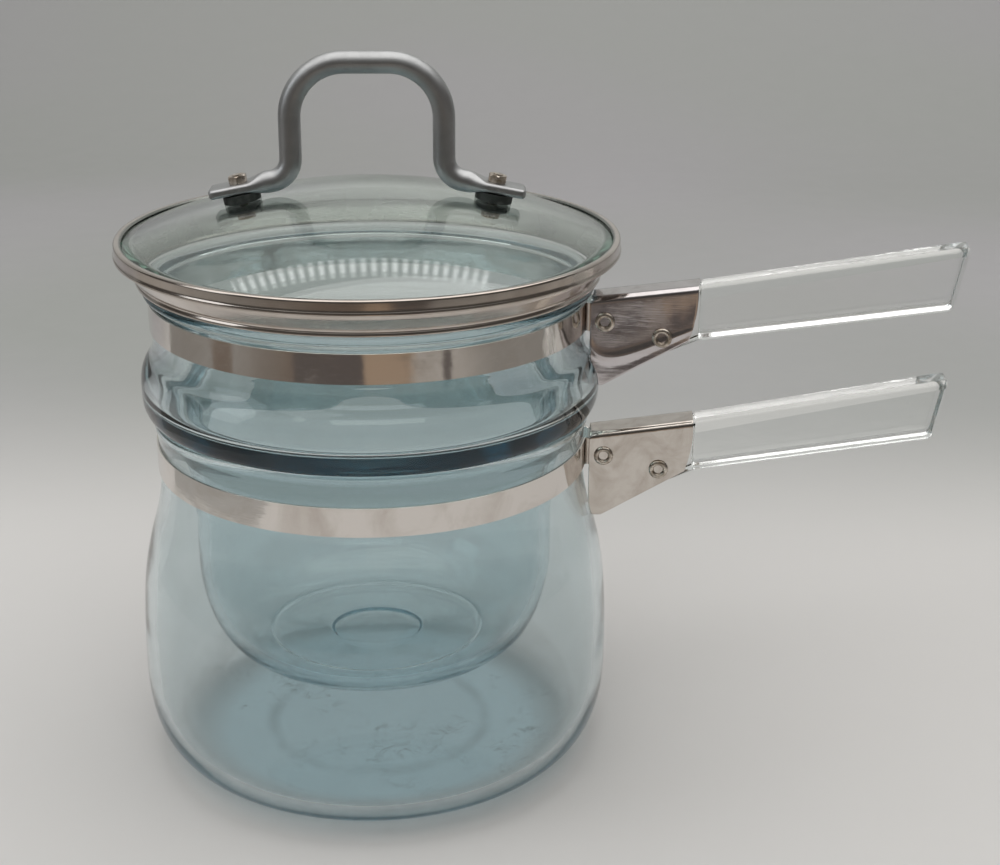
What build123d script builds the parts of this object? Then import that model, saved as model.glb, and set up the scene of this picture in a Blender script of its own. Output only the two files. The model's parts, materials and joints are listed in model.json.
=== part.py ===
from build123d import *
from math import asin, cos, degrees, radians, sin, sqrt
import os

os.makedirs("parts", exist_ok=True)

# A stovetop double boiler: a round-bellied glass pot for the water, a smaller glass
# pot that hangs in its mouth, and a domed glass lid with a steel rim. Both pots are
# carried by a clear glass handle in a steel bracket that a steel band pulls against
# the neck. Millimetres, +Z up, origin at the middle of the base, lower handle along +X.

# Fits
rest_gap = 0.3
grip_gap = 0.1
rivet_gap = 0.05
wall_gap = 0.5
overrun = 2.0

# Lower pot
base_r = 50.6
belly_r = 77.9
belly_z = 33.5
neck_r = 69.0
neck_z = 101.0
lower_rim_z = 121.0
lower_bead = 1.4
lower_bead_h = 3.2
glass_wall = 3.6
floor_t = 4.2
heel_out_share = 0.87
heel_up_share = 0.42
belly_up_share = 0.72
shoulder_down_share = 0.38
shoulder_out_share = 0.21

# Upper pot
steam_gap = 7.1
insert_drop = 86.0
insert_foot_r = 33.0
insert_heel_h = 32.0
insert_heel_share = 0.62
punt_r = 14.6
punt_t = 0.8
seat_inside = 0.5
seat_outside = 0.3
collar_h = 14.0
bulge_out = 4.6
bulge_h = 9.0
bulge_share = 0.55
bulge_in_share = 0.125
upper_neck_h = 25.5
upper_rim_h = 42.4
upper_flare = 2.6
upper_rim_t = 4.8
upper_flare_h = 5.0
flare_share = 0.25

# Bands. The upper pot turns freely in the lower one, so its handle stands a few
# degrees round from the lower handle
band_t = 0.8
lower_band_z = 101.9
band_h = 9.2
upper_band_rise = 27.7
upper_turn = -5.0
ear_h = 9.0
ear_reach = 11.0

# Brackets
bracket_w = 12.0
bracket_t = 0.7
bracket_edge_r = 1.9
bracket_len = 33.0
bracket_tilt = 8.7
bracket_stand = 1.4
bracket_top = 6.0
bracket_nose_back = 2.3
bracket_nose_bow = 0.7
bracket_nose_drop = 17.3
bracket_toe_drop = 28.3
bracket_toe_in = 4.0

# Rivets
rivet_r = 2.0
rivet_bore_r = 1.45
rivet_head_r = 3.1
rivet_head_t = 0.9
rivet_head_edge = 0.4
band_rivet_in = 4.4
band_rivet_drop = 8.2
handle_rivet_in = 22.3
handle_rivet_drop = 15.2

# Glass handles
liner_t = 0.4
tenon_in = 14.0
tenon_toe_drop = 21.5
grip_w = 11.0
grip_edge_r = 1.7
grip_top_rise = 16.0
grip_len = 76.0
grip_lean = 4.3
grip_near_h = 17.6
grip_far_h = 20.5

# Lid
skirt_over = 1.4
skirt_taper = 4.3
skirt_h = 7.8
skirt_curl = 2.6
rim_step = 2.2
rim_h = 4.6
rim_lip = 2.7
rim_sheet = 0.6
rim_corner_r = 0.28
ground_edge = 0.6
lid_glass_t = 4.0
dome_r = 205.0
lip_gap = 0.45
lid_turn = 5.5

# Lid handle and its fixings
rod_r = 3.5
arch_half_w = 23.8
arch_rise = 38.9
arch_corner_r = 17.0
ankle_r = 7.2
foot_out = 15.3
foot_t = 3.0
foot_w = 11.0
foot_len = 15.5
foot_inner = 10.0
foot_press = 4.0
foot_corner_r = 2.0
pad_t = 2.6
pad_r = 5.9
inner_pad_t = 1.5
inner_pad_r = 5.0
dome_gap = 0.15
bolt_r = 1.5
bolt_head_r = 2.9
bolt_head_t = 1.8
bolt_end = 0.4
nut_flat_r = 2.75
nut_t = 2.4
glass_hole_r = 2.2

# Sizes and places that follow from the ones above
inner_r = neck_r - glass_wall
lower_rim_r = neck_r + lower_bead
insert_r = inner_r - steam_gap
seat_in_r = inner_r - seat_inside
seat_out_r = neck_r + seat_outside
bulge_r = neck_r + bulge_out
upper_rim_r = neck_r + upper_flare
skirt_bottom_r = upper_rim_r + skirt_over
skirt_top_r = skirt_bottom_r + skirt_taper
rim_r = skirt_top_r + rim_step
bolt_reach = arch_half_w + foot_out
seat_z = lower_rim_z + rest_gap
insert_z = lower_rim_z - insert_drop
bulge_z = seat_z + bulge_h
upper_neck_z = seat_z + upper_neck_h
upper_rim_z = seat_z + upper_rim_h
upper_band_z = seat_z + upper_band_rise
bracket_x = neck_r + grip_gap + band_t + bracket_stand
half_w = bracket_w / 2


def keep(piece, name, turn=0):
    """Turn a finished piece about the pots' axis, label it and write it under its name."""
    piece = Rot(0, 0, turn) * piece
    piece.label = name
    export_step(piece, f"parts/{name}.step")


def lower_side(grow=0.0):
    """Outer side of the lower pot from the base up to the neck, each radius grown."""
    height = neck_z - belly_z
    foot = (base_r + grow, 0)
    belly = (belly_r + grow, belly_z)
    neck = (neck_r + grow, neck_z)
    heel_out = base_r + grow + heel_out_share * (belly_r - base_r)
    Bezier(foot, (heel_out, 0), (belly_r + grow, heel_up_share * belly_z), belly)
    Bezier(
        belly,
        (belly_r + grow, belly_z + belly_up_share * height),
        (neck_r + grow + shoulder_out_share * (belly_r - neck_r), neck_z - shoulder_down_share * height),
        neck,
    )


def upper_side(grow=0.0):
    """Outer side of the upper pot from its seat over the bulge to the neck."""
    seat = (seat_out_r + grow, seat_z)
    bulge = (bulge_r + grow, bulge_z)
    neck = (neck_r + grow, upper_neck_z)
    height = upper_neck_z - bulge_z
    Bezier(seat, (bulge_r + grow, seat_z), (bulge_r + grow, bulge_z - bulge_share * bulge_h), bulge)
    Bezier(
        bulge,
        (bulge_r + grow, bulge_z + bulge_share * height),
        (neck_r + grow, upper_neck_z - bulge_share * height),
        neck,
    )


# Lower pot: one turned wall with a flat base and a small bead at the rim
with BuildPart() as lower_pot_glass:
    with BuildSketch(Plane.XZ):
        with BuildLine():
            inner_belly = belly_r - glass_wall
            inner_height = neck_z - belly_z
            bead_z = lower_rim_z - lower_bead_h
            rim_mid = (inner_r + lower_rim_r) / 2
            rim_half = (lower_rim_r - inner_r) / 2
            Line((0, 0), (base_r, 0))
            lower_side()
            Line((neck_r, neck_z), (neck_r, bead_z - lower_bead_h / 2))
            Line((neck_r, bead_z - lower_bead_h / 2), (lower_rim_r, bead_z))
            Line((lower_rim_r, bead_z), (lower_rim_r, lower_rim_z - rim_half))
            ThreePointArc(
                (lower_rim_r, lower_rim_z - rim_half),
                (rim_mid, lower_rim_z),
                (inner_r, lower_rim_z - rim_half),
            )
            Line((inner_r, lower_rim_z - rim_half), (inner_r, neck_z))
            Bezier(
                (inner_r, neck_z),
                (
                    inner_r + shoulder_out_share * (inner_belly - inner_r),
                    neck_z - shoulder_down_share * inner_height,
                ),
                (inner_belly, belly_z + belly_up_share * inner_height),
                (inner_belly, belly_z),
            )
            Bezier(
                (inner_belly, belly_z),
                (inner_belly, floor_t + heel_up_share * (belly_z - floor_t)),
                (base_r + heel_out_share * (inner_belly - base_r), floor_t),
                (base_r, floor_t),
            )
            Polyline((base_r, floor_t), (0, floor_t), (0, 0))
        make_face()
    revolve(axis=Axis.Z)

# Upper pot: the insert that hangs in the steam, the seat on the lower rim, the bulge,
# the neck and a thick rolled rim
with BuildPart() as upper_pot_glass:
    with BuildSketch(Plane.XZ):
        with BuildLine():
            heel_z = insert_z + insert_heel_h
            collar_z = seat_z - collar_h
            inner_insert = insert_r - glass_wall
            inner_bulge = bulge_r - glass_wall
            inner_floor = insert_z + floor_t
            flare_z = upper_rim_z - upper_flare_h
            rim_inner = upper_rim_r - upper_rim_t
            rim_mid = upper_rim_r - upper_rim_t / 2
            rim_side_z = upper_rim_z - upper_rim_t / 2
            heel_turn = insert_heel_share * (insert_r - insert_foot_r)
            heel_rise = insert_heel_share * insert_heel_h
            Polyline((0, insert_z + punt_t), (punt_r, insert_z + punt_t), (punt_r + punt_t, insert_z))
            Line((punt_r + punt_t, insert_z), (insert_foot_r, insert_z))
            Bezier(
                (insert_foot_r, insert_z),
                (insert_foot_r + heel_turn, insert_z),
                (insert_r, heel_z - heel_rise),
                (insert_r, heel_z),
            )
            Line((insert_r, heel_z), (insert_r, collar_z))
            Bezier(
                (insert_r, collar_z),
                (insert_r, seat_z - collar_h * (1 - bulge_share)),
                ((insert_r + seat_in_r) / 2, seat_z),
                (seat_in_r, seat_z),
            )
            Line((seat_in_r, seat_z), (seat_out_r, seat_z))
            upper_side()
            Line((neck_r, upper_neck_z), (neck_r, flare_z))
            Bezier(
                (neck_r, flare_z),
                (neck_r, rim_side_z - flare_share * upper_flare_h),
                (upper_rim_r, rim_side_z),
            )
            ThreePointArc((upper_rim_r, rim_side_z), (rim_mid, upper_rim_z), (rim_inner, rim_side_z))
            Bezier(
                (rim_inner, rim_side_z),
                (inner_r, flare_z),
                (inner_r, flare_z - upper_flare_h),
            )
            Line((inner_r, flare_z - upper_flare_h), (inner_r, upper_neck_z))
            Bezier(
                (inner_r, upper_neck_z),
                (inner_r, upper_neck_z - bulge_share * (upper_neck_z - bulge_z)),
                (inner_bulge, bulge_z + bulge_share * (upper_neck_z - bulge_z)),
                (inner_bulge, bulge_z),
            )
            Bezier(
                (inner_bulge, bulge_z),
                (inner_bulge, seat_z + bulge_in_share * bulge_h),
                (inner_insert, bulge_z - bulge_in_share * bulge_h),
                (inner_insert, collar_z + glass_wall / 2),
            )
            Line((inner_insert, collar_z + glass_wall / 2), (inner_insert, heel_z))
            Bezier(
                (inner_insert, heel_z),
                (inner_insert, heel_z - heel_rise),
                (insert_foot_r + heel_turn - glass_wall, inner_floor),
                (insert_foot_r, inner_floor),
            )
            Polyline((insert_foot_r, inner_floor), (0, inner_floor), (0, insert_z + punt_t))
        make_face()
    revolve(axis=Axis.Z)


# Shapes that a bracket is trimmed by, so its edge follows the pot's wall
with BuildPart() as lower_form:
    with BuildSketch(Plane.XZ):
        with BuildLine():
            lower_side(grow=wall_gap)
            Line((neck_r + wall_gap, neck_z), (neck_r + wall_gap, lower_rim_z))
            Polyline((neck_r + wall_gap, lower_rim_z), (0, lower_rim_z), (0, 0), (base_r + wall_gap, 0))
        make_face()
    revolve(axis=Axis.Z)

with BuildPart() as upper_form:
    with BuildSketch(Plane.XZ):
        with BuildLine():
            upper_side(grow=wall_gap)
            Line((neck_r + wall_gap, upper_neck_z), (neck_r + wall_gap, upper_rim_z))
            Polyline(
                (neck_r + wall_gap, upper_rim_z),
                (0, upper_rim_z),
                (0, seat_z),
                (seat_out_r + wall_gap, seat_z),
            )
        make_face()
    revolve(axis=Axis.Z)

pots = [
    ("lower", lower_pot_glass, lower_form, lower_band_z, 0),
    ("upper", upper_pot_glass, upper_form, upper_band_z, upper_turn),
]

for pot_name, pot_glass, pot_form, band_z, pot_turn in pots:
    keep(pot_glass.part, f"{pot_name}_pot_glass")

    band_mid = band_z + band_h / 2
    band_in = neck_r + grip_gap
    band_out = band_in + band_t
    ear_y = half_w - bracket_t - band_t
    ear_end = bracket_x + ear_reach
    rise = sin(radians(bracket_tilt)) / cos(radians(bracket_tilt))
    top_z = band_mid + bracket_top
    ear_z = top_z - bracket_edge_r - rest_gap - ear_h
    mouth_x = bracket_x + bracket_len
    mouth_z = top_z + bracket_len * rise
    band_rivet = (bracket_x + band_rivet_in, top_z + band_rivet_in * rise - band_rivet_drop)
    handle_rivet = (bracket_x + handle_rivet_in, top_z + handle_rivet_in * rise - handle_rivet_drop)

    # Band: a strap round the neck whose two ends turn out into the bracket as ears
    with BuildPart() as band:
        with BuildSketch(Plane.XY.offset(band_z)):
            Circle(band_out)
            Circle(band_in, mode=Mode.SUBTRACT)
            with Locations((band_out, 0)):
                Rectangle(2 * bracket_len, 2 * ear_y, mode=Mode.SUBTRACT)
        extrude(amount=band_h)
        with BuildSketch(Plane.XY.offset(ear_z)):
            with Locations((band_in, ear_y), (band_in, -ear_y - band_t)):
                Rectangle(ear_end - band_in, band_t, align=(Align.MIN, Align.MIN))
        extrude(amount=ear_h)
        with BuildSketch(Plane.XZ):
            with Locations(band_rivet):
                Circle(rivet_r + rivet_gap)
        extrude(amount=half_w, both=True, mode=Mode.SUBTRACT)
    keep(band.part, f"{pot_name}_band", pot_turn)

    # Bracket: a folded steel channel, open below, with a rounded top fold. Its side
    # outline is cut from the channel and its pot edge from the shape of the wall.
    along = Plane(
        origin=(bracket_x, 0, top_z),
        x_dir=(0, 1, 0),
        z_dir=(cos(radians(bracket_tilt)), 0, sin(radians(bracket_tilt))),
    )
    along_axis = Axis((0, 0, 0), tuple(along.z_dir))
    channel_h = bracket_toe_drop + overrun
    with BuildPart() as bracket:
        with BuildSketch(along.offset(-overrun)) as channel:
            Rectangle(bracket_w, channel_h, align=(Align.CENTER, Align.MAX))
            fillet(channel.vertices().group_by(Axis.Z)[-1], radius=bracket_edge_r)
        extrude(amount=bracket_len + 2 * overrun)
        with BuildSketch(along.offset(-2 * overrun)) as hollow:
            with Locations((0, -bracket_t)):
                Rectangle(bracket_w - 2 * bracket_t, channel_h, align=(Align.CENTER, Align.MAX))
            fillet(hollow.vertices().group_by(Axis.Z)[-1], radius=bracket_edge_r - bracket_t)
        extrude(amount=bracket_len + 4 * overrun, mode=Mode.SUBTRACT)
        with BuildSketch(Plane.XZ):
            with BuildLine():
                nose_low = (mouth_x - bracket_nose_back, mouth_z - bracket_nose_drop)
                nose_mid = (
                    mouth_x - bracket_nose_back / 2 + bracket_nose_bow,
                    mouth_z - bracket_nose_drop / 2,
                )
                ThreePointArc((mouth_x, mouth_z + overrun), nose_mid, nose_low)
                Polyline(
                    nose_low,
                    (bracket_x + bracket_toe_in, top_z - bracket_toe_drop),
                    (bracket_x - overrun, top_z - bracket_toe_drop),
                    (bracket_x - overrun, mouth_z + overrun),
                    (mouth_x, mouth_z + overrun),
                )
            make_face()
        extrude(amount=bracket_w, both=True, mode=Mode.INTERSECT)
        add(pot_form.part, mode=Mode.SUBTRACT)
        with BuildSketch(Plane.XY.offset(top_z - bracket_toe_drop)):
            Circle(bracket_x)
        extrude(amount=channel_h + 2 * overrun, mode=Mode.SUBTRACT)
        with BuildSketch(Plane.XZ):
            with Locations(band_rivet, handle_rivet):
                Circle(rivet_r + rivet_gap)
        extrude(amount=bracket_w, both=True, mode=Mode.SUBTRACT)
    keep(bracket.part, f"{pot_name}_bracket", pot_turn)

    # Rivets: tubes rolled over on both faces of the bracket
    for rivet_name, place in (("band_rivet", band_rivet), ("handle_rivet", handle_rivet)):
        with BuildPart() as rivet:
            with BuildSketch(Plane.XZ):
                with Locations(place):
                    Circle(rivet_r)
            extrude(amount=half_w, both=True)
            for side in (-1, 1):
                with BuildSketch(Plane.XZ.offset(side * half_w)):
                    with Locations(place):
                        Circle(rivet_head_r)
                extrude(amount=side * rivet_head_t)
            rims = rivet.edges().filter_by(GeomType.CIRCLE).group_by(Axis.Y)
            fillet(rims[0] + rims[-1], radius=rivet_head_edge)
            with BuildSketch(Plane.XZ):
                with Locations(place):
                    Circle(rivet_bore_r)
            extrude(amount=bracket_w, both=True, mode=Mode.SUBTRACT)
        keep(rivet.part, f"{pot_name}_{rivet_name}", pot_turn)

    # Glass handle: a slab that rises and grows deeper towards its leaning end, with a
    # thinner tenon that sits in the bracket and is held by the outer rivet
    tenon_x = bracket_x + tenon_in
    tenon_w = bracket_w - 2 * bracket_t - 2 * liner_t
    grip_x = mouth_x + rest_gap
    root_x = grip_x + 2 * grip_edge_r
    liner_end = mouth_x - bracket_nose_back - rest_gap
    liner_fall = bracket_t / cos(radians(bracket_tilt))
    tenon_fall = (bracket_t + liner_t) / cos(radians(bracket_tilt))
    far_top = (grip_x + grip_len + grip_lean, mouth_z + grip_top_rise)
    far_low = (grip_x + grip_len, mouth_z + grip_top_rise - grip_far_h)
    with BuildPart() as grip:
        with BuildSketch(Plane.XZ):
            with BuildLine():
                Polyline(
                    (grip_x, mouth_z), far_top, far_low, (grip_x, mouth_z - grip_near_h), (grip_x, mouth_z)
                )
            make_face()
        extrude(amount=grip_w / 2, both=True)
        fillet(grip.edges(), radius=grip_edge_r)

    with BuildPart() as handle:
        with BuildSketch(Plane.XZ):
            with BuildLine():
                Polyline(
                    (tenon_x, top_z + (tenon_x - bracket_x) * rise - tenon_fall),
                    (root_x, top_z + (root_x - bracket_x) * rise - tenon_fall),
                    (root_x, mouth_z - grip_near_h + grip_edge_r),
                    (liner_end, mouth_z - grip_near_h + grip_edge_r),
                    (tenon_x, top_z - tenon_toe_drop),
                    (tenon_x, top_z + (tenon_x - bracket_x) * rise - tenon_fall),
                )
            make_face()
        extrude(amount=tenon_w / 2, both=True)
        fillet(handle.edges().filter_by(along_axis), radius=bracket_edge_r - bracket_t - liner_t)
        add(grip.part)
        with BuildSketch(Plane.XZ):
            with Locations(handle_rivet):
                Circle(rivet_r + rivet_gap)
        extrude(amount=bracket_w, both=True, mode=Mode.SUBTRACT)
    keep(handle.part, f"{pot_name}_handle", pot_turn)

    # Liner: a thin soft strip folded over the tenon, so glass never bears on steel
    with BuildPart() as liner:
        with BuildSketch(Plane.XZ):
            with BuildLine():
                Polyline(
                    (tenon_x, top_z + (tenon_x - bracket_x) * rise - liner_fall),
                    (liner_end, top_z + (liner_end - bracket_x) * rise - liner_fall),
                    (liner_end, mouth_z - bracket_nose_drop + rest_gap),
                    (tenon_x, top_z - tenon_toe_drop),
                    (tenon_x, top_z + (tenon_x - bracket_x) * rise - liner_fall),
                )
            make_face()
        extrude(amount=tenon_w / 2 + liner_t, both=True)
        fillet(liner.edges().filter_by(along_axis), radius=bracket_edge_r - bracket_t)
        with BuildSketch(along.offset(-overrun)) as tenon_space:
            with Locations((0, -bracket_t - liner_t)):
                Rectangle(tenon_w, channel_h, align=(Align.CENTER, Align.MAX))
            fillet(tenon_space.vertices().group_by(Axis.Z)[-1], radius=bracket_edge_r - bracket_t - liner_t)
        extrude(amount=bracket_len + 2 * overrun, mode=Mode.SUBTRACT)
        with BuildSketch(Plane.XZ):
            with Locations(handle_rivet):
                Circle(rivet_r + rivet_gap)
        extrude(amount=bracket_w, both=True, mode=Mode.SUBTRACT)
    keep(liner.part, f"{pot_name}_handle_liner", pot_turn)

# Lid. All of it is turned by hand a little from the line of the pot handles.
lid_plane = Plane.XZ.rotated((0, 0, lid_turn))
lid_skirt_z = upper_rim_z + rest_gap
step_z = lid_skirt_z + skirt_h
rim_top_z = step_z + rim_h
lip_r = rim_r - rim_lip
edge_r = rim_r - rim_sheet - grip_gap
edge_z = step_z + rim_sheet
dome_low_z = rim_top_z - rim_sheet - lip_gap - sqrt(dome_r**2 - lip_r**2)
dome_top_z = dome_low_z + dome_r
arch_top_z = dome_top_z + arch_rise
inner_dome_r = dome_r - lid_glass_t
edge_top_z = dome_low_z + sqrt(dome_r**2 - edge_r**2)
seat_ring_r = sqrt(inner_dome_r**2 - (edge_z - dome_low_z) ** 2)
bolt_slope = degrees(asin(bolt_reach / dome_r))


def fixing_plane(side, height=0.0):
    """Plane square to the dome where a foot is bolted, a given height off the glass."""
    turn = radians(lid_turn if side > 0 else lid_turn + 180)
    lean = radians(bolt_slope)
    out = (sin(lean) * cos(turn), sin(lean) * sin(turn), cos(lean))
    reach = dome_r + height
    return Plane(
        origin=(out[0] * reach, out[1] * reach, dome_low_z + out[2] * reach),
        x_dir=(cos(lean) * cos(turn), cos(lean) * sin(turn), -sin(lean)),
        z_dir=out,
    )


with BuildPart() as lid_glass:
    with BuildSketch(Plane.XZ):
        with BuildLine():
            half = asin(edge_r / dome_r) / 2
            inner_half = asin(seat_ring_r / inner_dome_r) / 2
            ThreePointArc(
                (0, dome_top_z),
                (dome_r * sin(half), dome_low_z + dome_r * cos(half)),
                (edge_r, edge_top_z),
            )
            Polyline(
                (edge_r, edge_top_z),
                (edge_r, edge_z + ground_edge),
                (edge_r - ground_edge, edge_z),
                (seat_ring_r, edge_z),
            )
            ThreePointArc(
                (seat_ring_r, edge_z),
                (inner_dome_r * sin(inner_half), dome_low_z + inner_dome_r * cos(inner_half)),
                (0, dome_low_z + inner_dome_r),
            )
            Line((0, dome_low_z + inner_dome_r), (0, dome_top_z))
        make_face()
    revolve(axis=Axis.Z)
    for side in (-1, 1):
        with BuildSketch(fixing_plane(side)):
            Circle(glass_hole_r)
        extrude(amount=lid_glass_t + overrun, both=True, mode=Mode.SUBTRACT)
keep(lid_glass.part, "lid_glass")

# Lid rim: sheet steel rolled over the edge of the glass, stepped in under it, and
# drawn down to a tapered skirt whose curled foot stands on the upper pot's rim
with BuildPart() as lid_rim:
    with BuildSketch(Plane.XZ) as rim_section:
        with BuildLine():
            Polyline(
                (lip_r, rim_top_z),
                (rim_r, rim_top_z),
                (rim_r, step_z),
                (skirt_top_r, step_z),
                (skirt_bottom_r, lid_skirt_z),
                (skirt_bottom_r - skirt_curl, lid_skirt_z),
                (skirt_bottom_r - skirt_curl, lid_skirt_z + rim_sheet),
                (skirt_bottom_r - rim_sheet, lid_skirt_z + rim_sheet),
                (skirt_top_r - rim_sheet, step_z + rim_sheet),
                (rim_r - rim_sheet, step_z + rim_sheet),
                (rim_r - rim_sheet, rim_top_z - rim_sheet),
                (lip_r, rim_top_z - rim_sheet),
                (lip_r, rim_top_z),
            )
        make_face()
        fillet(rim_section.vertices(), radius=rim_corner_r)
    revolve(axis=Axis.Z)
keep(lid_rim.part, "lid_rim")

# Lid handle: a round aluminium rod bent into an arch, its ends turned out and pressed
# flat into feet that lie along the dome
foot_mid = fixing_plane(1, pad_t + foot_t / 2)
rod_end = foot_mid.origin - foot_mid.x_dir * foot_inner
ankle_x = sqrt(rod_end.X**2 + rod_end.Y**2)
ankle_z = rod_end.Z
foot_fall = (foot_mid.origin.Z - ankle_z) / (foot_inner * cos(radians(bolt_slope)))
across = (-sin(radians(lid_turn)), cos(radians(lid_turn)), 0)
round_plane = Plane(origin=rod_end, x_dir=across, z_dir=foot_mid.x_dir)

with BuildPart() as lid_handle:
    with BuildLine(lid_plane) as half_path:
        FilletPolyline(
            (0, arch_top_z),
            (arch_half_w, arch_top_z),
            (arch_half_w, ankle_z + (arch_half_w - ankle_x) * foot_fall),
            (ankle_x, ankle_z),
            radius=[arch_corner_r, ankle_r],
        )
    with BuildSketch(Plane(origin=half_path.line @ 0, z_dir=half_path.line % 0)):
        Circle(rod_r)
    sweep(path=half_path.line)
    with BuildSketch(round_plane) as round_end:
        Circle(rod_r)
    with BuildSketch(round_plane.offset(foot_press)) as flat_end:
        Rectangle(foot_w, foot_t)
    loft(sections=[round_end.sketch, flat_end.sketch])
    with BuildSketch(fixing_plane(1, pad_t)) as foot_face:
        with Locations((foot_press - foot_inner, 0)):
            Rectangle(foot_len, foot_w, align=(Align.MIN, Align.CENTER))
        fillet(foot_face.vertices().sort_by(Axis.X)[-2:], radius=foot_corner_r)
    extrude(amount=foot_t)
    with BuildSketch(fixing_plane(1)):
        Circle(bolt_r + rivet_gap)
    extrude(amount=pad_t + foot_t + overrun, mode=Mode.SUBTRACT)
    mirror(about=Plane.YZ.rotated((0, 0, lid_turn)))
keep(lid_handle.part, "lid_handle")

# Rubber pads between the feet and the glass
with BuildPart() as lid_pads:
    for side in (-1, 1):
        with BuildSketch(fixing_plane(side)):
            Circle(pad_r)
            Circle(bolt_r + rivet_gap, mode=Mode.SUBTRACT)
        extrude(amount=pad_t)
keep(lid_pads.part, "lid_pads")

# Rubber washers under the glass
under_glass = lid_glass_t + dome_gap
with BuildPart() as lid_washers:
    for side in (-1, 1):
        with BuildSketch(fixing_plane(side, -under_glass)):
            Circle(inner_pad_r)
            Circle(bolt_r + rivet_gap, mode=Mode.SUBTRACT)
        extrude(amount=-inner_pad_t)
keep(lid_washers.part, "lid_washers")

# Bolts: flat round heads inside the lid, shanks up through glass, pad and foot
head_top = -under_glass - inner_pad_t
bolt_top = pad_t + foot_t + nut_t + bolt_end
with BuildPart() as lid_bolts:
    for side in (-1, 1):
        with BuildSketch(fixing_plane(side, head_top)):
            Circle(bolt_head_r)
        extrude(amount=-bolt_head_t)
        with BuildSketch(fixing_plane(side, head_top)):
            Circle(bolt_r)
        extrude(amount=bolt_top - head_top)
keep(lid_bolts.part, "lid_bolts")

# Nuts: hexagons on top of the feet
with BuildPart() as lid_nuts:
    for side in (-1, 1):
        with BuildSketch(fixing_plane(side, pad_t + foot_t)):
            RegularPolygon(radius=nut_flat_r, side_count=6, major_radius=False)
            Circle(bolt_r + rivet_gap, mode=Mode.SUBTRACT)
        extrude(amount=nut_t)
keep(lid_nuts.part, "lid_nuts")
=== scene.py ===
# %% [markdown]
# Glass double boiler, dressed for a studio picture
# Two blue-tinted glass pots stand one inside the other under a domed lid. The packed
# CAD model is loaded first and stays as it is: it fixes where every piece sits. Each
# cell below then makes one piece or one finish.

# %% Load the frame
import json
import math

import bpy
import numpy as np
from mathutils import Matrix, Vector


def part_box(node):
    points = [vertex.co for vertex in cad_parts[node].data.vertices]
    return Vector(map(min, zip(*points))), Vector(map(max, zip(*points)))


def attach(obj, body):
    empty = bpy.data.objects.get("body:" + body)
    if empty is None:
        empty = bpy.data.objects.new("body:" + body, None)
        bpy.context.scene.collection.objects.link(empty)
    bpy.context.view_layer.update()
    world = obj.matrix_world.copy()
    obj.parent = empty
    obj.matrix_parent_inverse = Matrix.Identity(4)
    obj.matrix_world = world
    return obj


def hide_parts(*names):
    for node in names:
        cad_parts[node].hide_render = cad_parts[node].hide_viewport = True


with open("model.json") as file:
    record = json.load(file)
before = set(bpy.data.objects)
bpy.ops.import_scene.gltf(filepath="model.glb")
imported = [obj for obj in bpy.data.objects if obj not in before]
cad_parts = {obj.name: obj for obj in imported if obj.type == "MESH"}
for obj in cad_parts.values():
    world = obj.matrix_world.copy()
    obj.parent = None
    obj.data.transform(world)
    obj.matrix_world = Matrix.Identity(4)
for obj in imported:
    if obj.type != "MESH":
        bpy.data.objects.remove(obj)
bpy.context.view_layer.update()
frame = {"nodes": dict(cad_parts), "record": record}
mm = 0.001

# %% [markdown]
# Mesh helpers
# Every new piece is a grid of points worked out with numpy. A grid can close on itself
# both ways, like a ring, or only one way, like a tube, whose ends are then capped. A
# modelling tool such as Spin would do for the pots, but a formula keeps the wall exact.


# %% Grid and lathe helpers
def quads(rows, cols, close_rows, close_cols):
    """Corner numbers of the faces of a rows by cols grid: each face joins a point, its
    right neighbour, the one above that and the one above itself."""
    r = np.arange(rows if close_rows else rows - 1)
    c = np.arange(cols if close_cols else cols - 1)
    rr, cc = np.meshgrid(r, c, indexing="ij")
    up = (rr + 1) % rows
    right = (cc + 1) % cols
    return np.stack([rr * cols + cc, rr * cols + right, up * cols + right, up * cols + cc], -1).reshape(-1, 4)


def make_mesh(name, points, faces, finish, smooth=True):
    """A mesh object at the origin from point and face arrays, in metres."""
    mesh = bpy.data.meshes.new(name)
    mesh.from_pydata(np.asarray(points).tolist(), [], [list(f) for f in faces])
    mesh.validate()
    piece = bpy.data.objects.new(name, mesh)
    bpy.context.scene.collection.objects.link(piece)
    mesh.materials.append(finish)
    mesh.shade_smooth() if smooth else mesh.shade_flat()
    return piece


def orient(piece, sharp_angle=None):
    """Turn the faces of a closed mesh outwards, and mark edges sharper than an angle."""
    bpy.context.view_layer.objects.active = piece
    piece.select_set(True)
    bpy.ops.object.mode_set(mode="EDIT")
    bpy.ops.mesh.select_all(action="SELECT")
    bpy.ops.mesh.normals_make_consistent(inside=False)
    bpy.ops.object.mode_set(mode="OBJECT")
    if sharp_angle is not None:
        bpy.ops.object.shade_smooth_by_angle(angle=math.radians(sharp_angle))
    piece.select_set(False)
    return piece


def join_points(parts):
    """Several (points, faces) pairs as one pair, the face numbers moved along."""
    points, faces, start = [], [], 0
    for p, f in parts:
        points.append(np.asarray(p))
        faces.extend([[i + start for i in face] for face in f])
        start += len(p)
    return np.concatenate(points), faces


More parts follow.
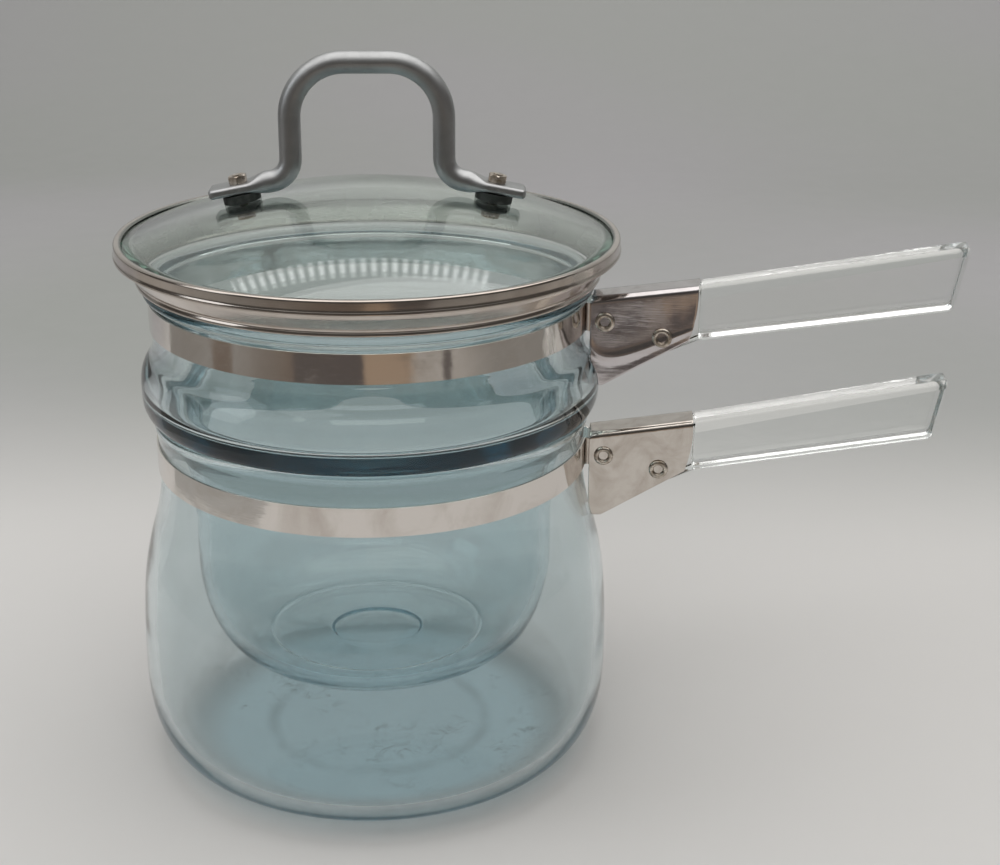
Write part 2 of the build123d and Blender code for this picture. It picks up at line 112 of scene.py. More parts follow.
def lathe(profile, turns=256):
    """Points and faces of a closed outline turned about the Z axis: each outline point
    (radius, height) goes to (radius cos a, radius sin a, height). An outline that starts
    and ends on the axis closes in two poles, any other closes as a ring."""
    profile = np.asarray(profile, float)
    angle = np.arange(turns) * 2 * np.pi / turns
    on_axis = profile[0, 0] < 1e-9
    ring = profile[1:-1] if on_axis else profile
    x = ring[:, 0, None] * np.cos(angle)
    y = ring[:, 0, None] * np.sin(angle)
    z = np.broadcast_to(ring[:, 1, None], x.shape)
    points = np.stack([x, y, z], -1).reshape(-1, 3)
    faces = quads(len(ring), turns, not on_axis, True).tolist()
    if on_axis:
        first, last = len(points), len(points) + 1
        points = np.vstack([points, [0, 0, profile[0, 1]], [0, 0, profile[-1, 1]]])
        around = np.arange(turns)
        right = (around + 1) % turns
        top = (len(ring) - 1) * turns
        faces += np.stack([np.full(turns, first), right, around], -1).tolist()
        faces += np.stack([np.full(turns, last), top + around, top + right], -1).tolist()
    return points, faces


def tube(rings):
    """Points and faces of a stack of closed rings, joined ring to ring and capped by
    a fan to the middle of each end ring."""
    rings = np.asarray(rings, float)
    rows, cols = rings.shape[:2]
    points = np.vstack([rings.reshape(-1, 3), rings[0].mean(0), rings[-1].mean(0)])
    faces = quads(rows, cols, False, True).tolist()
    around = np.arange(cols)
    right = (around + 1) % cols
    last = (rows - 1) * cols
    faces += np.stack([np.full(cols, rows * cols), right, around], -1).tolist()
    faces += np.stack([np.full(cols, rows * cols + 1), last + around, last + right], -1).tolist()
    return points, faces


def bezier(a, b, c, d, steps=24):
    """Points of a cubic curve: the corners weighted by the Bernstein polynomials."""
    t = np.linspace(0, 1, steps)[:, None]
    a, b, c, d = (np.asarray(p, float) for p in (a, b, c, d))
    return (1 - t) ** 3 * a + 3 * (1 - t) ** 2 * t * b + 3 * (1 - t) * t**2 * c + t**3 * d


def straight(a, b, steps=2):
    """Points along a line."""
    t = np.linspace(0, 1, steps)[:, None]
    return (1 - t) * np.asarray(a, float) + t * np.asarray(b, float)


def arc(centre, radius, start, end, steps=12):
    """Points of a circle arc in a plane, the angles in degrees."""
    a = np.radians(np.linspace(start, end, steps))
    return np.stack([centre[0] + radius * np.cos(a), centre[1] + radius * np.sin(a)], -1)


def outline(*pieces):
    """The pieces end to end, without the points that repeat."""
    points = np.vstack(pieces)
    step = np.linalg.norm(np.diff(points, axis=0), axis=1)
    return points[np.concatenate([[True], step > 1e-6])]


def turned(points, degrees):
    """Points turned about the Z axis: x cos a - y sin a, x sin a + y cos a, z."""
    points = np.asarray(points, float)
    c, s = math.cos(math.radians(degrees)), math.sin(math.radians(degrees))
    x, y, z = points[..., 0], points[..., 1], points[..., 2]
    return np.stack([x * c - y * s, x * s + y * c, z], -1)


def rounded(points, radius, steps=5):
    """An open outline with each inner corner replaced by a short curve that starts and
    ends a given distance from the corner, less where the sides are short."""
    points = np.asarray(points, float)
    out = [points[:1]]
    for before, corner, after in zip(points[:-2], points[1:-1], points[2:]):
        reach_in = min(radius, np.linalg.norm(before - corner) * 0.45)
        reach_out = min(radius, np.linalg.norm(after - corner) * 0.45)
        start = corner + (before - corner) / np.linalg.norm(before - corner) * reach_in
        end = corner + (after - corner) / np.linalg.norm(after - corner) * reach_out
        t = np.linspace(0, 1, steps)[:, None]
        out.append((1 - t) ** 2 * start + 2 * (1 - t) * t * corner + t**2 * end)
    out.append(points[-1:])
    return np.vstack(out)


# %% [markdown]
# Finishes
# A finish is a small node tree around one Principled shader. The helper below writes
# such trees briefly: noise and waves read Object coordinates, so the pattern keeps its
# real size and stays put when a piece moves.


# %% Node helper
class Finish:
    """A material with one Principled shader and a few short calls to dress it."""

    def __init__(self, name, **values):
        self.material = bpy.data.materials.new(name)
        self.material.use_nodes = True
        self.tree = self.material.node_tree
        self.shader = self.tree.nodes["Principled BSDF"]
        self.where = self.tree.nodes.new("ShaderNodeTexCoord").outputs["Object"]
        for socket, value in values.items():
            self.shader.inputs[socket.replace("_", " ")].default_value = value

    def add(self, kind, inputs=None, **settings):
        node = self.tree.nodes.new("ShaderNode" + kind)
        for key, value in settings.items():
            setattr(node, key, value)
        for socket, value in (inputs or {}).items():
            if isinstance(value, bpy.types.NodeSocket):
                self.tree.links.new(value, node.inputs[socket])
            else:
                node.inputs[socket].default_value = value
        return node

    def noise(self, scale, detail=4.0, rough=0.55, stretch=(1, 1, 1), warp=0.0):
        """Cloudy noise, from 0 to 1, of a given number of cells a metre."""
        place = self.add("Mapping", {"Vector": self.where, "Scale": stretch})
        values = {"Vector": place.outputs[0], "Scale": scale, "Detail": detail, "Roughness": rough, "Distortion": warp}
        return self.add("TexNoise", values).outputs["Fac"]

    def cells(self, scale, stretch=(1, 1, 1)):
        """Distance to the nearest of many scattered points."""
        place = self.add("Mapping", {"Vector": self.where, "Scale": stretch})
        return self.add("TexVoronoi", {"Vector": place.outputs[0], "Scale": scale}).outputs["Distance"]

    def span(self, value, low, high, out_low, out_high):
        """A value taken from one range to another and held at its ends."""
        ranges = {"Value": value, "From Min": low, "From Max": high, "To Min": out_low, "To Max": out_high}
        return self.add("MapRange", ranges, clamp=True).outputs["Result"]

    def blend(self, share, first, second, mode="MIX"):
        """Two colours mixed by a share."""
        node = self.add("Mix", data_type="RGBA", blend_type=mode)
        for socket, value in zip((node.inputs[0], node.inputs[6], node.inputs[7]), (share, first, second)):
            if isinstance(value, bpy.types.NodeSocket):
                self.tree.links.new(value, socket)
            else:
                socket.default_value = value
        return node.outputs[2]

    def ramp(self, share, stops):
        """A colour read off a row of (place, colour) stops."""
        node = self.add("ValToRGB", {"Fac": share})
        row = node.color_ramp.elements
        row.remove(row[1])
        row[0].position, row[0].color = stops[0]
        for place, colour in stops[1:]:
            row.new(place).color = colour
        return node.outputs["Color"]

    def sum(self, first, second, kind="ADD"):
        return self.add("Math", {0: first, 1: second}, operation=kind).outputs[0]

    def height(self, *axis):
        """One coordinate of the place on the object, in metres."""
        parts = self.add("SeparateXYZ", {"Vector": self.where})
        return parts.outputs[axis[0] if axis else "Z"]

    def link(self, socket, value):
        self.tree.links.new(value, self.shader.inputs[socket])

    def absorb(self, colour, density):
        """Light lost on the way through: each metre takes the density times what the
        colour lacks."""
        node = self.add("VolumeAbsorption", {"Color": colour, "Density": density})
        self.tree.links.new(node.outputs["Volume"], self.tree.nodes["Material Output"].inputs["Volume"])

    def bump(self, height, strength, distance=0.0002):
        node = self.add("Bump", {"Height": height, "Strength": strength, "Distance": distance})
        self.link("Normal", node.outputs["Normal"])


# %% [markdown]
# Pot glass
# Pressed borosilicate glass is clear but not perfect: it carries a blue-grey tint, long
# soft waves from the mould, finger marks that dull it in patches, and on the base of a
# used pot a cloud of fine scratches and lime. Most of the tint is absorbed on the way
# through the glass, so a thick seat or a wall seen edge on turns dark by itself. The
# waves sit in the bump and the marks in the roughness.


# %% Pot glass finish
def pot_glass_finish():
    glass = Finish("pot_glass", Transmission_Weight=1.0, IOR=1.47)
    glass.absorb((0.03, 0.35, 0.44, 1), 17.0)
    drift = glass.noise(9.0, detail=2.0)
    tint = glass.blend(glass.span(drift, 0.3, 0.7, 0.0, 1.0), (0.88, 0.925, 0.935, 1), (0.90, 0.945, 0.955, 1))
    marks = glass.noise(38.0, detail=6.0, rough=0.6, warp=0.6)
    low = glass.span(glass.height(), 0.0, 0.012, 1.0, 0.0)
    scuffs = glass.sum(low, glass.span(glass.noise(120.0, detail=10.0, rough=0.75, warp=0.8), 0.54, 0.66, 0.0, 1.0), "MULTIPLY")
    scuffs = glass.sum(scuffs, glass.span(glass.noise(26.0, detail=2.0), 0.48, 0.62, 0.12, 1.0), "MULTIPLY")
    flat = glass.add("Mapping", {"Vector": glass.where, "Scale": (1, 1, 0)}).outputs[0]
    reach = glass.add("VectorMath", {0: flat}, operation="LENGTH").outputs["Value"]
    off_ring = glass.add("Math", {0: glass.sum(reach, 0.037, "SUBTRACT")}, operation="ABSOLUTE").outputs[0]
    ring = glass.sum(glass.span(off_ring, 0.0, 0.0035, 0.45, 0.0), glass.span(glass.noise(70.0), 0.35, 0.6, 0.1, 1.0), "MULTIPLY")
    scuffs = glass.sum(scuffs, glass.sum(ring, low, "MULTIPLY"), "MAXIMUM")
    stained = glass.blend(scuffs, tint, (0.38, 0.43, 0.44, 1))
    glass.link("Base Color", stained)
    dull = glass.span(marks, 0.52, 0.8, 0.012, 0.07)
    glass.link("Roughness", glass.sum(dull, glass.sum(scuffs, 0.22, "MULTIPLY")))
    waves = glass.sum(glass.noise(24.0, detail=1.0, stretch=(1, 1, 1.8)), glass.sum(marks, 0.03, "MULTIPLY"))
    glass.bump(waves, 0.35, 0.0006)
    return glass.material


pot_glass = pot_glass_finish()
print("finish", pot_glass.name)

# %% [markdown]
# Lid and handle glass
# The lid is plain toughened glass, faintly green at its edge. The handles are thick
# clear bars, so their glass stays nearly colourless and shows small pressing ripples.


# %% Lid and handle glass finishes
def lid_glass_finish():
    glass = Finish("lid_glass", Transmission_Weight=1.0, IOR=1.5)
    glass.absorb((0.45, 0.72, 0.60, 1), 16.0)
    drift = glass.noise(12.0, detail=2.0)
    glass.link("Base Color", glass.blend(drift, (0.93, 0.96, 0.945, 1), (0.955, 0.975, 0.965, 1)))
    marks = glass.noise(55.0, detail=6.0, rough=0.62, warp=0.8)
    glass.link("Roughness", glass.span(marks, 0.5, 0.8, 0.01, 0.075))
    glass.bump(glass.noise(16.0, detail=1.0), 0.2, 0.0005)
    return glass.material


def handle_glass_finish():
    glass = Finish("handle_glass", Transmission_Weight=1.0, IOR=1.48)
    drift = glass.noise(20.0, detail=2.0)
    glass.link("Base Color", glass.blend(drift, (0.955, 0.975, 0.965, 1), (0.98, 0.99, 0.985, 1)))
    marks = glass.noise(90.0, detail=5.0, rough=0.6)
    glass.link("Roughness", glass.span(marks, 0.5, 0.8, 0.006, 0.05))
    glass.bump(glass.noise(140.0, detail=3.0, stretch=(0.4, 1, 1)), 0.4, 0.0003)
    return glass.material


lid_clear = lid_glass_finish()
handle_clear = handle_glass_finish()
print("finishes", lid_clear.name, handle_clear.name)

# %% [markdown]
# Bright steel
# Bands and brackets are thin polished strip. It mirrors the room, slightly warm, with
# hairline scratches along its length, small dents that bend the reflections and a brown
# film where heat and washing left it. Metals take their colour from the base colour.


# %% Metal finishes
def bright_steel_finish():
    steel = Finish("bright_steel", Metallic=1.0)
    film = steel.noise(60.0, detail=6.0, rough=0.62, warp=0.7)
    worn = steel.span(film, 0.45, 0.75, 0.0, 1.0)
    steel.link("Base Color", steel.blend(worn, (0.71, 0.67, 0.635, 1), (0.54, 0.49, 0.445, 1)))
    scratches = steel.noise(240.0, detail=3.0, stretch=(1, 1, 9))
    steel.link("Roughness", steel.sum(steel.span(worn, 0, 1, 0.07, 0.2), steel.span(scratches, 0.55, 0.8, 0, 0.08)))
    steel.bump(steel.sum(steel.noise(110.0, detail=2.0), steel.sum(scratches, 0.08, "MULTIPLY")), 0.28, 0.0003)
    return steel.material


def bracket_steel_finish(pot):
    steel = Finish(f"{pot}_bracket_steel", Metallic=1.0)
    film = steel.noise(75.0, detail=6.0, rough=0.65, warp=1.0)
    worn = steel.span(film, 0.42, 0.75, 0.0, 1.0)
    clean, tired = {"lower": ((0.63, 0.585, 0.54, 1), (0.47, 0.42, 0.37, 1)), "upper": ((0.58, 0.55, 0.555, 1), (0.46, 0.42, 0.41, 1))}[pot]
    steel.link("Base Color", steel.blend(worn, clean, tired))
    scratches = steel.noise(260.0, detail=3.0, stretch=(0.6, 1, 7))
    steel.link("Roughness", steel.sum(steel.span(worn, 0, 1, 0.08, 0.24), steel.span(scratches, 0.55, 0.8, 0, 0.1)))
    steel.bump(steel.sum(steel.noise(90.0, detail=2.0), steel.sum(scratches, 0.1, "MULTIPLY")), 0.3, 0.0003)
    return steel.material


def rim_steel_finish():
    steel = Finish("rim_steel", Metallic=1.0)
    facing = steel.add("NewGeometry").outputs["Normal"]
    outward = steel.add("VectorMath", {0: facing, 1: steel.add("Mapping", {"Vector": steel.where, "Scale": (1, 1, 0)}).outputs[0]}, operation="DOT_PRODUCT").outputs["Value"]
    # Painted shade: faces that turn in towards the axis, under the glass, are painted dark grey and made duller.
    inside = steel.span(outward, -0.03, -0.005, 1.0, 0.0)
    film = steel.noise(45.0, detail=6.0, rough=0.6, warp=0.5)
    worn = steel.span(film, 0.4, 0.75, 0.0, 1.0)
    face = steel.blend(worn, (0.60, 0.545, 0.50, 1), (0.48, 0.42, 0.375, 1))
    steel.link("Base Color", steel.blend(inside, face, (0.30, 0.31, 0.29, 1)))
    lines = steel.noise(300.0, detail=2.0, stretch=(0.4, 0.4, 12))
    dull = steel.sum(steel.span(worn, 0, 1, 0.10, 0.20), steel.span(lines, 0.5, 0.8, 0, 0.06))
    steel.link("Roughness", steel.sum(dull, steel.sum(inside, 0.15, "MULTIPLY")))
    steel.bump(steel.sum(steel.noise(70.0, detail=2.0), steel.sum(lines, 0.1, "MULTIPLY")), 0.16, 0.0003)
    return steel.material


def rivet_steel_finish():
    steel = Finish("rivet_steel", Metallic=1.0)
    tarnish = steel.noise(420.0, detail=5.0, rough=0.65)
    worn = steel.span(tarnish, 0.4, 0.7, 0.0, 1.0)
    steel.link("Base Color", steel.blend(worn, (0.66, 0.60, 0.53, 1), (0.30, 0.24, 0.18, 1)))
    steel.link("Roughness", steel.span(tarnish, 0.35, 0.75, 0.22, 0.5))
    steel.bump(tarnish, 0.3, 0.0001)
    return steel.material


def aluminium_finish():
    rod = Finish("handle_aluminium", Metallic=1.0)
    cloud = rod.noise(70.0, detail=5.0, rough=0.6)
    rod.link("Base Color", rod.blend(rod.span(cloud, 0.35, 0.7, 0, 1), (0.47, 0.475, 0.48, 1), (0.37, 0.375, 0.38, 1)))
    grain = rod.noise(900.0, detail=3.0)
    rod.link("Roughness", rod.sum(rod.span(cloud, 0.3, 0.8, 0.36, 0.46), rod.span(grain, 0.4, 0.7, 0, 0.06)))
    rod.bump(rod.noise(350.0, detail=2.0), 0.06, 0.0001)
    return rod.material


def rubber_finish():
    rubber = Finish("rubber")
    dust = rubber.noise(500.0, detail=5.0, rough=0.65)
    rubber.link("Base Color", rubber.blend(rubber.span(dust, 0.5, 0.8, 0, 1), (0.016, 0.020, 0.018, 1), (0.07, 0.075, 0.07, 1)))
    rubber.link("Roughness", rubber.span(dust, 0.3, 0.8, 0.42, 0.7))
    rubber.bump(dust, 0.2, 0.0001)
    return rubber.material


def liner_finish():
    strip = Finish("liner")
    fibre = strip.noise(700.0, detail=5.0, stretch=(1, 1, 3))
    strip.link("Base Color", strip.blend(fibre, (0.30, 0.28, 0.25, 1), (0.45, 0.42, 0.38, 1)))
    strip.link("Roughness", strip.span(fibre, 0.3, 0.8, 0.75, 0.95))
    strip.bump(fibre, 0.4, 0.0001)
    return strip.material


bright_steel = bright_steel_finish()
bracket_steel = {"lower": bracket_steel_finish("lower"), "upper": bracket_steel_finish("upper")}
rim_steel = rim_steel_finish()
rivet_steel = rivet_steel_finish()
aluminium = aluminium_finish()
rubber = rubber_finish()
liner_fibre = liner_finish()
print("metal, rubber and fibre finishes made")


# %% [markdown]
# Putting a piece in place
# Each piece rides on the CAD body of the node that it stands for, and hides the node, whose coarse facets would show
# in a reflection.


# %% Place helper
body_of = {node: body for body, nodes in frame["record"]["behaviour"]["bodies"].items() for node in nodes}


def stand_for(piece, node):
    """The piece replaces a CAD node and moves as that node does."""
    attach(piece, body_of[node])
    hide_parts(node)
    print(piece.name, "for", node, "faces", len(piece.data.polygons))
    return piece


# %% [markdown]
# Shared sizes
# The main sizes are read off the CAD boxes. The few that a box can't give, such as a
# wall or a bend, are named here in metres.

# %% Sizes
pot_low, pot_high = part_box("lower_pot_glass")
upper_low, upper_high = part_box("upper_pot_glass")
rim_low, rim_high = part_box("lid_rim")
glass_low, glass_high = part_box("lid_glass")
bands = {pot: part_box(f"{pot}_band") for pot in ("lower", "upper")}
wall = 3.6 * mm
floor_t = 4.2 * mm
neck_r = 69.0 * mm
print("lower pot", [round(v / mm, 1) for v in pot_high], "lid rim", [round(v / mm, 1) for v in rim_high])

# %% [markdown]
# Lower pot
# The pot is one turned wall: a flat base, a tight heel, the belly, shoulders that draw
# in to the neck and a small bead at the mouth. Its outline is a few cubic curves, the
# inner ones one wall inside the outer ones, turned about the axis in 256 steps.


# %% Lower pot
def lower_pot_outline():
    base_r = 50.6 * mm
    belly_r = pot_high.x
    belly_z = 33.5 * mm
    neck_z = 101.0 * mm
    rim_z = pot_high.z
    bead_r = neck_r + 1.4 * mm
    bead_z = rim_z - 3.2 * mm
    inner_r = neck_r - wall
    inner_belly = belly_r - wall
    rise = neck_z - belly_z
    half = (bead_r - inner_r) / 2
    lip_z = rim_z - half
    heel_out, heel_up, belly_up, neck_down, neck_out = 0.87, 0.42, 0.72, 0.38, 0.21
    return outline(
        straight((0, 0), (base_r, 0), 6),
        bezier(
            (base_r, 0), (base_r + heel_out * (belly_r - base_r), 0), (belly_r, heel_up * belly_z), (belly_r, belly_z)
        ),
        bezier(
            (belly_r, belly_z),
            (belly_r, belly_z + belly_up * rise),
            (neck_r + neck_out * (belly_r - neck_r), neck_z - neck_down * rise),
            (neck_r, neck_z),
            40,
        ),
        bezier((neck_r, neck_z), (neck_r, neck_z + 6 * mm), (neck_r, bead_z - 4 * mm), (bead_r, bead_z), 20),
        straight((bead_r, bead_z), (bead_r, lip_z), 3),
        arc((bead_r - half, lip_z), half, 0, 180, 14),
        straight((inner_r, lip_z), (inner_r, neck_z), 6),
        bezier(
            (inner_r, neck_z),
            (inner_r + neck_out * (inner_belly - inner_r), neck_z - neck_down * rise),
            (inner_belly, belly_z + belly_up * rise),
            (inner_belly, belly_z),
            40,
        ),
        bezier(
            (inner_belly, belly_z),
            (inner_belly, floor_t + heel_up * (belly_z - floor_t)),
            (base_r + heel_out * (inner_belly - base_r), floor_t),
            (base_r, floor_t),
        ),
        straight((base_r, floor_t), (0, floor_t), 6),
    )


lower_pot = orient(make_mesh("lower_pot_wall", *lathe(lower_pot_outline()), pot_glass))
stand_for(lower_pot, "lower_pot_glass")

# %% [markdown]
# Upper pot
# The upper pot is also one wall, with more turns in it: the deep insert with a round
# mould mark under it, the collar that widens to the seat on the lower mouth, the bulge
# over it, the neck, and a thick rolled rim that carries the lid.


# %% Upper pot
def upper_pot_outline():
    inner_neck = neck_r - wall
    insert_r = inner_neck - 7.1 * mm
    insert_z = upper_low.z
    foot_r = 33.0 * mm
    heel_z = insert_z + 32.0 * mm
    heel_share = 0.62
    turn = heel_share * (insert_r - foot_r)
    climb = heel_share * (heel_z - insert_z)
    mark_r = 14.6 * mm
    mark_t = 0.8 * mm
    seat_z = pot_high.z + 0.3 * mm
    seat_in = inner_neck - 0.5 * mm
    seat_out = neck_r + 0.3 * mm
    collar_z = seat_z - 14.0 * mm
    bulge_r = upper_high.x
    bulge_z = seat_z + 9.0 * mm
    bulge_share = 0.55
    bulge_in = 0.125
    neck_z = seat_z + 25.5 * mm
    rim_z = upper_high.z
    rim_r = neck_r + 2.6 * mm
    rim_t = 4.8 * mm
    side_z = rim_z - rim_t / 2
    flare_h = 5.0 * mm
    flare_z = rim_z - flare_h
    bulge_h = bulge_z - seat_z
    neck_h = neck_z - bulge_z
    inner_bulge = bulge_r - wall
    inner_insert = insert_r - wall
    inner_floor = insert_z + floor_t
    ring_r = np.linspace(foot_r + 6 * mm, foot_r - 2 * mm, 34)
    rise = inner_floor + 0.0195 / mm * np.clip(ring_r - foot_r, 0, None) ** 2
    ridge = 0.6 * mm * np.exp(-(((ring_r - foot_r - 2.5 * mm) / (0.9 * mm)) ** 2))
    mould_ring = np.stack([ring_r, rise + ridge], -1)
    return outline(
        straight((0, insert_z + mark_t), (mark_r, insert_z + mark_t), 5),
        bezier(
            (mark_r, insert_z + mark_t),
            (mark_r + mark_t / 2, insert_z + mark_t),
            (mark_r + mark_t / 2, insert_z),
            (mark_r + 2 * mark_t, insert_z),
            6,
        ),
        straight((mark_r + 2 * mark_t, insert_z), (foot_r, insert_z), 4),
        bezier((foot_r, insert_z), (foot_r + turn, insert_z), (insert_r, heel_z - climb), (insert_r, heel_z), 30),
        straight((insert_r, heel_z), (insert_r, collar_z), 8),
        bezier(
            (insert_r, collar_z),
            (insert_r, seat_z - 14.0 * mm * (1 - bulge_share)),
            ((insert_r + seat_in) / 2, seat_z),
            (seat_in, seat_z),
            16,
        ),
        straight((seat_in, seat_z), (seat_out, seat_z), 3),
        bezier((seat_out, seat_z), (bulge_r, seat_z), (bulge_r, bulge_z - bulge_share * bulge_h), (bulge_r, bulge_z)),
        bezier(
            (bulge_r, bulge_z),
            (bulge_r, bulge_z + bulge_share * neck_h),
            (neck_r, neck_z - bulge_share * neck_h),
            (neck_r, neck_z),
        ),
        straight((neck_r, neck_z), (neck_r, flare_z), 4),
        bezier(
            (neck_r, flare_z),
            (neck_r, (flare_z + side_z) / 2),
            (rim_r, (flare_z + side_z) / 2),
            (rim_r, side_z),
            12,
        ),
        arc((rim_r - rim_t / 2, side_z), rim_t / 2, 0, 180, 16),
        bezier(
            (rim_r - rim_t, side_z),
            (rim_r - rim_t, side_z - flare_h / 2),
            (inner_neck, flare_z),
            (inner_neck, flare_z - flare_h),
            12,
        ),
        straight((inner_neck, flare_z - flare_h), (inner_neck, neck_z), 3),
        bezier(
            (inner_neck, neck_z),
            (inner_neck, neck_z - bulge_share * neck_h),
            (inner_bulge, bulge_z + bulge_share * neck_h),
            (inner_bulge, bulge_z),
        ),
        bezier(
            (inner_bulge, bulge_z),
            (inner_bulge, seat_z + bulge_in * bulge_h),
            (inner_insert, bulge_z - bulge_in * bulge_h),
            (inner_insert, collar_z + wall / 2),
            30,
        ),
        straight((inner_insert, collar_z + wall / 2), (inner_insert, heel_z), 8),
        bezier(
            (inner_insert, heel_z),
            (inner_insert, heel_z - climb),
            (foot_r + turn - wall, inner_floor),
            (foot_r, inner_floor),
            30,
        )[:-6],
        mould_ring,
        straight((foot_r - 2 * mm, inner_floor), (0, inner_floor), 6),
    )


upper_pot = orient(make_mesh("upper_pot_wall", *lathe(upper_pot_outline()), pot_glass))
stand_for(upper_pot, "upper_pot_glass")

# %% [markdown]
# Lid glass and steel rim
# The dome is a slice of a sphere with a flat seat ground round its edge. The rim is one
# strip of sheet steel rolled over that edge, so its outline is followed out along one
# face of the sheet and back along the other, with every fold slightly rounded.


# %% Lid glass and rim
lid_glass_t = 4.0 * mm
dome_r = 205.0 * mm
dome_centre_z = glass_high.z - dome_r
sheet = 0.6 * mm


def lid_glass_outline():
    edge_r = glass_high.x
    edge_z = glass_low.z
    ground = 0.6 * mm
    inner_r = dome_r - lid_glass_t
    seat_r = math.sqrt(inner_r**2 - (edge_z - dome_centre_z) ** 2)
    edge_angle = math.degrees(math.acos(edge_r / dome_r))
    seat_angle = math.degrees(math.acos(seat_r / inner_r))
    return outline(
        arc((0, dome_centre_z), dome_r, 90, edge_angle, 48),
        rounded(
            [
                (edge_r, dome_centre_z + dome_r * math.sin(math.radians(edge_angle))),
                (edge_r, edge_z + ground),
                (edge_r - ground, edge_z),
                (seat_r, edge_z),
            ],
            0.3 * mm,
        ),
        arc((0, dome_centre_z), inner_r, seat_angle, 90, 48),
    )


def lid_rim_outline():
    top_z = rim_high.z
    foot_z = rim_low.z
    step_z = foot_z + 7.8 * mm
    rim_r = rim_high.x
    skirt_top = rim_r - 2.2 * mm
    skirt_low = skirt_top - 4.3 * mm
    curl = 2.6 * mm
    lip_r = rim_r - 2.7 * mm
    hollow = 0.3 * mm
    out_face = [
        (lip_r, top_z - sheet),
        (lip_r + 0.45 * mm, top_z),
        (rim_r - hollow, top_z),
        (rim_r - hollow, step_z + 1.4 * mm),
        (rim_r, step_z + 0.9 * mm),
        (rim_r, step_z),
        (skirt_top, step_z),
        (skirt_top - 0.2 * mm, step_z - 1.2 * mm),
        (skirt_low - 0.1 * mm, foot_z + 1.7 * mm),
        (skirt_low + 0.35 * mm, foot_z + 0.9 * mm),
        (skirt_low + 0.35 * mm, foot_z),
        (skirt_low - curl, foot_z),
    ]
    in_face = [
        (skirt_low - curl, foot_z + sheet),
        (skirt_low - sheet, foot_z + sheet),
        (skirt_top - sheet - 0.2 * mm, step_z + sheet),
        (rim_r - sheet - hollow, step_z + sheet),
        (rim_r - sheet - hollow, top_z - sheet),
    ]
    return outline(rounded(out_face, 0.8 * mm, 7), rounded(in_face, 0.3 * mm, 4))


lid_dome = orient(make_mesh("lid_dome", *lathe(lid_glass_outline()), lid_clear))
stand_for(lid_dome, "lid_glass")
steel_rim = orient(make_mesh("lid_steel_rim", *lathe(lid_rim_outline(), 320), rim_steel), 50)
stand_for(steel_rim, "lid_rim")

# %% [markdown]
# Bands
# A band is a flat strap that goes round the neck and turns out into the bracket at both
# ends. The strap's middle line is worked out first: an ear, a small bend, the long way
# round, and the same back. A flat rounded section is then carried along that line.

# %% Bands
band_t = 0.8 * mm
bracket_w = 12.0 * mm
bracket_t = 0.7 * mm
ear_y = bracket_w / 2 - bracket_t - band_t / 2
pot_turn = {"lower": 0.0, "upper": -5.0}


def band_path():
    """Middle line of a strap seen from above: straight ear, bend of 2 mm, then circle.
    The bend's centre lies where it touches both the ear's line and the neck circle."""
    run_r = neck_r + 0.1 * mm + band_t / 2
    bend = 2.0 * mm
    ear_end = bands["lower"][1].x
    bend_x = math.sqrt((run_r + bend) ** 2 - (ear_y + bend) ** 2)
    turn = math.degrees(math.atan2(ear_y + bend, bend_x))
    half = outline(
        straight((ear_end, ear_y), (bend_x, ear_y), 8),
        arc((bend_x, ear_y + bend), bend, 270, 180 + turn, 8),
        arc((0, 0), run_r, turn, 180, 130),
    )
    return np.vstack([half, (half * [1, -1])[::-1][1:]])


def band_rings(low_z, high_z, ear_low, ear_high):
    """Carry a rounded flat section along the strap. The section's height slides from
    that of the ears to that of the band through the bends."""
    path = band_path()
    along = np.gradient(path, axis=0)
    along /= np.linalg.norm(along, axis=1)[:, None]
    side = np.stack([along[:, 1], -along[:, 0]], -1)
    reach = np.clip((path[:, 0] - neck_r) / (3.0 * mm), 0, 1)[:, None]
    reach = reach**2 * (3 - 2 * reach)
    low = low_z + (ear_low - low_z) * reach
    high = high_z + (ear_high - high_z) * reach
    edge = 0.25 * mm
    across = np.array([-1, -1, -0.5, 0.5, 1, 1, 1, 1, 0.5, -0.5, -1, -1]) * band_t / 2
    up = np.array([0, 0, 0, 0, 0, 0, 1, 1, 1, 1, 1, 1])
    shift = np.array([1, 0.3, 0, 0, 0.3, 1, -1, -0.3, 0, 0, -0.3, -1]) * edge
    z = low + (high - low) * up + shift
    xy = path[:, None] + side[:, None] * across[None, :, None]
    return np.concatenate([xy, z[..., None]], -1)


for pot in ("lower", "upper"):
    node_low, node_high = bands[pot]
    band_h = 9.2 * mm
    ear_low = node_low.z
    low_z = node_high.z - band_h
    points, faces = tube(band_rings(low_z, node_high.z, ear_low, ear_low + 9.0 * mm))
    strap = orient(make_mesh(f"{pot}_strap", turned(points, pot_turn[pot]), faces, bright_steel), 40)
    stand_for(strap, f"{pot}_band")

# %% [markdown]
# Brackets
# A bracket is one piece of sheet folded over into a channel. Each side is a four-edged
# patch: its top follows the fold, its pot edge the wall, its nose a shallow arc and its
# foot a sloping cut. Such a patch can be filled from its edges alone, which is quicker
# and smoother than cutting it out of a box. The sides are slightly dished from the press.

# %% Brackets
bracket_x = 71.3 * mm
bracket_len = 33.0 * mm
bracket_tilt = math.tan(math.radians(8.7))
fold_r = 1.9 * mm
half_w = bracket_w / 2
tops = {pot: bands[pot][1].z + 1.4 * mm for pot in ("lower", "upper")}
walls = {"lower": lower_pot_outline(), "upper": upper_pot_outline()}


def wall_radius(pot, z):
    """The pot's outer radius at a height: the outline, followed up its outer side."""
    side = walls[pot]
    outer = side[: side[:, 1].argmax()]
    outer = outer[np.concatenate([[True], np.diff(outer[:, 1]) > 1e-7])]
    return np.interp(z, outer[:, 1], outer[:, 0])


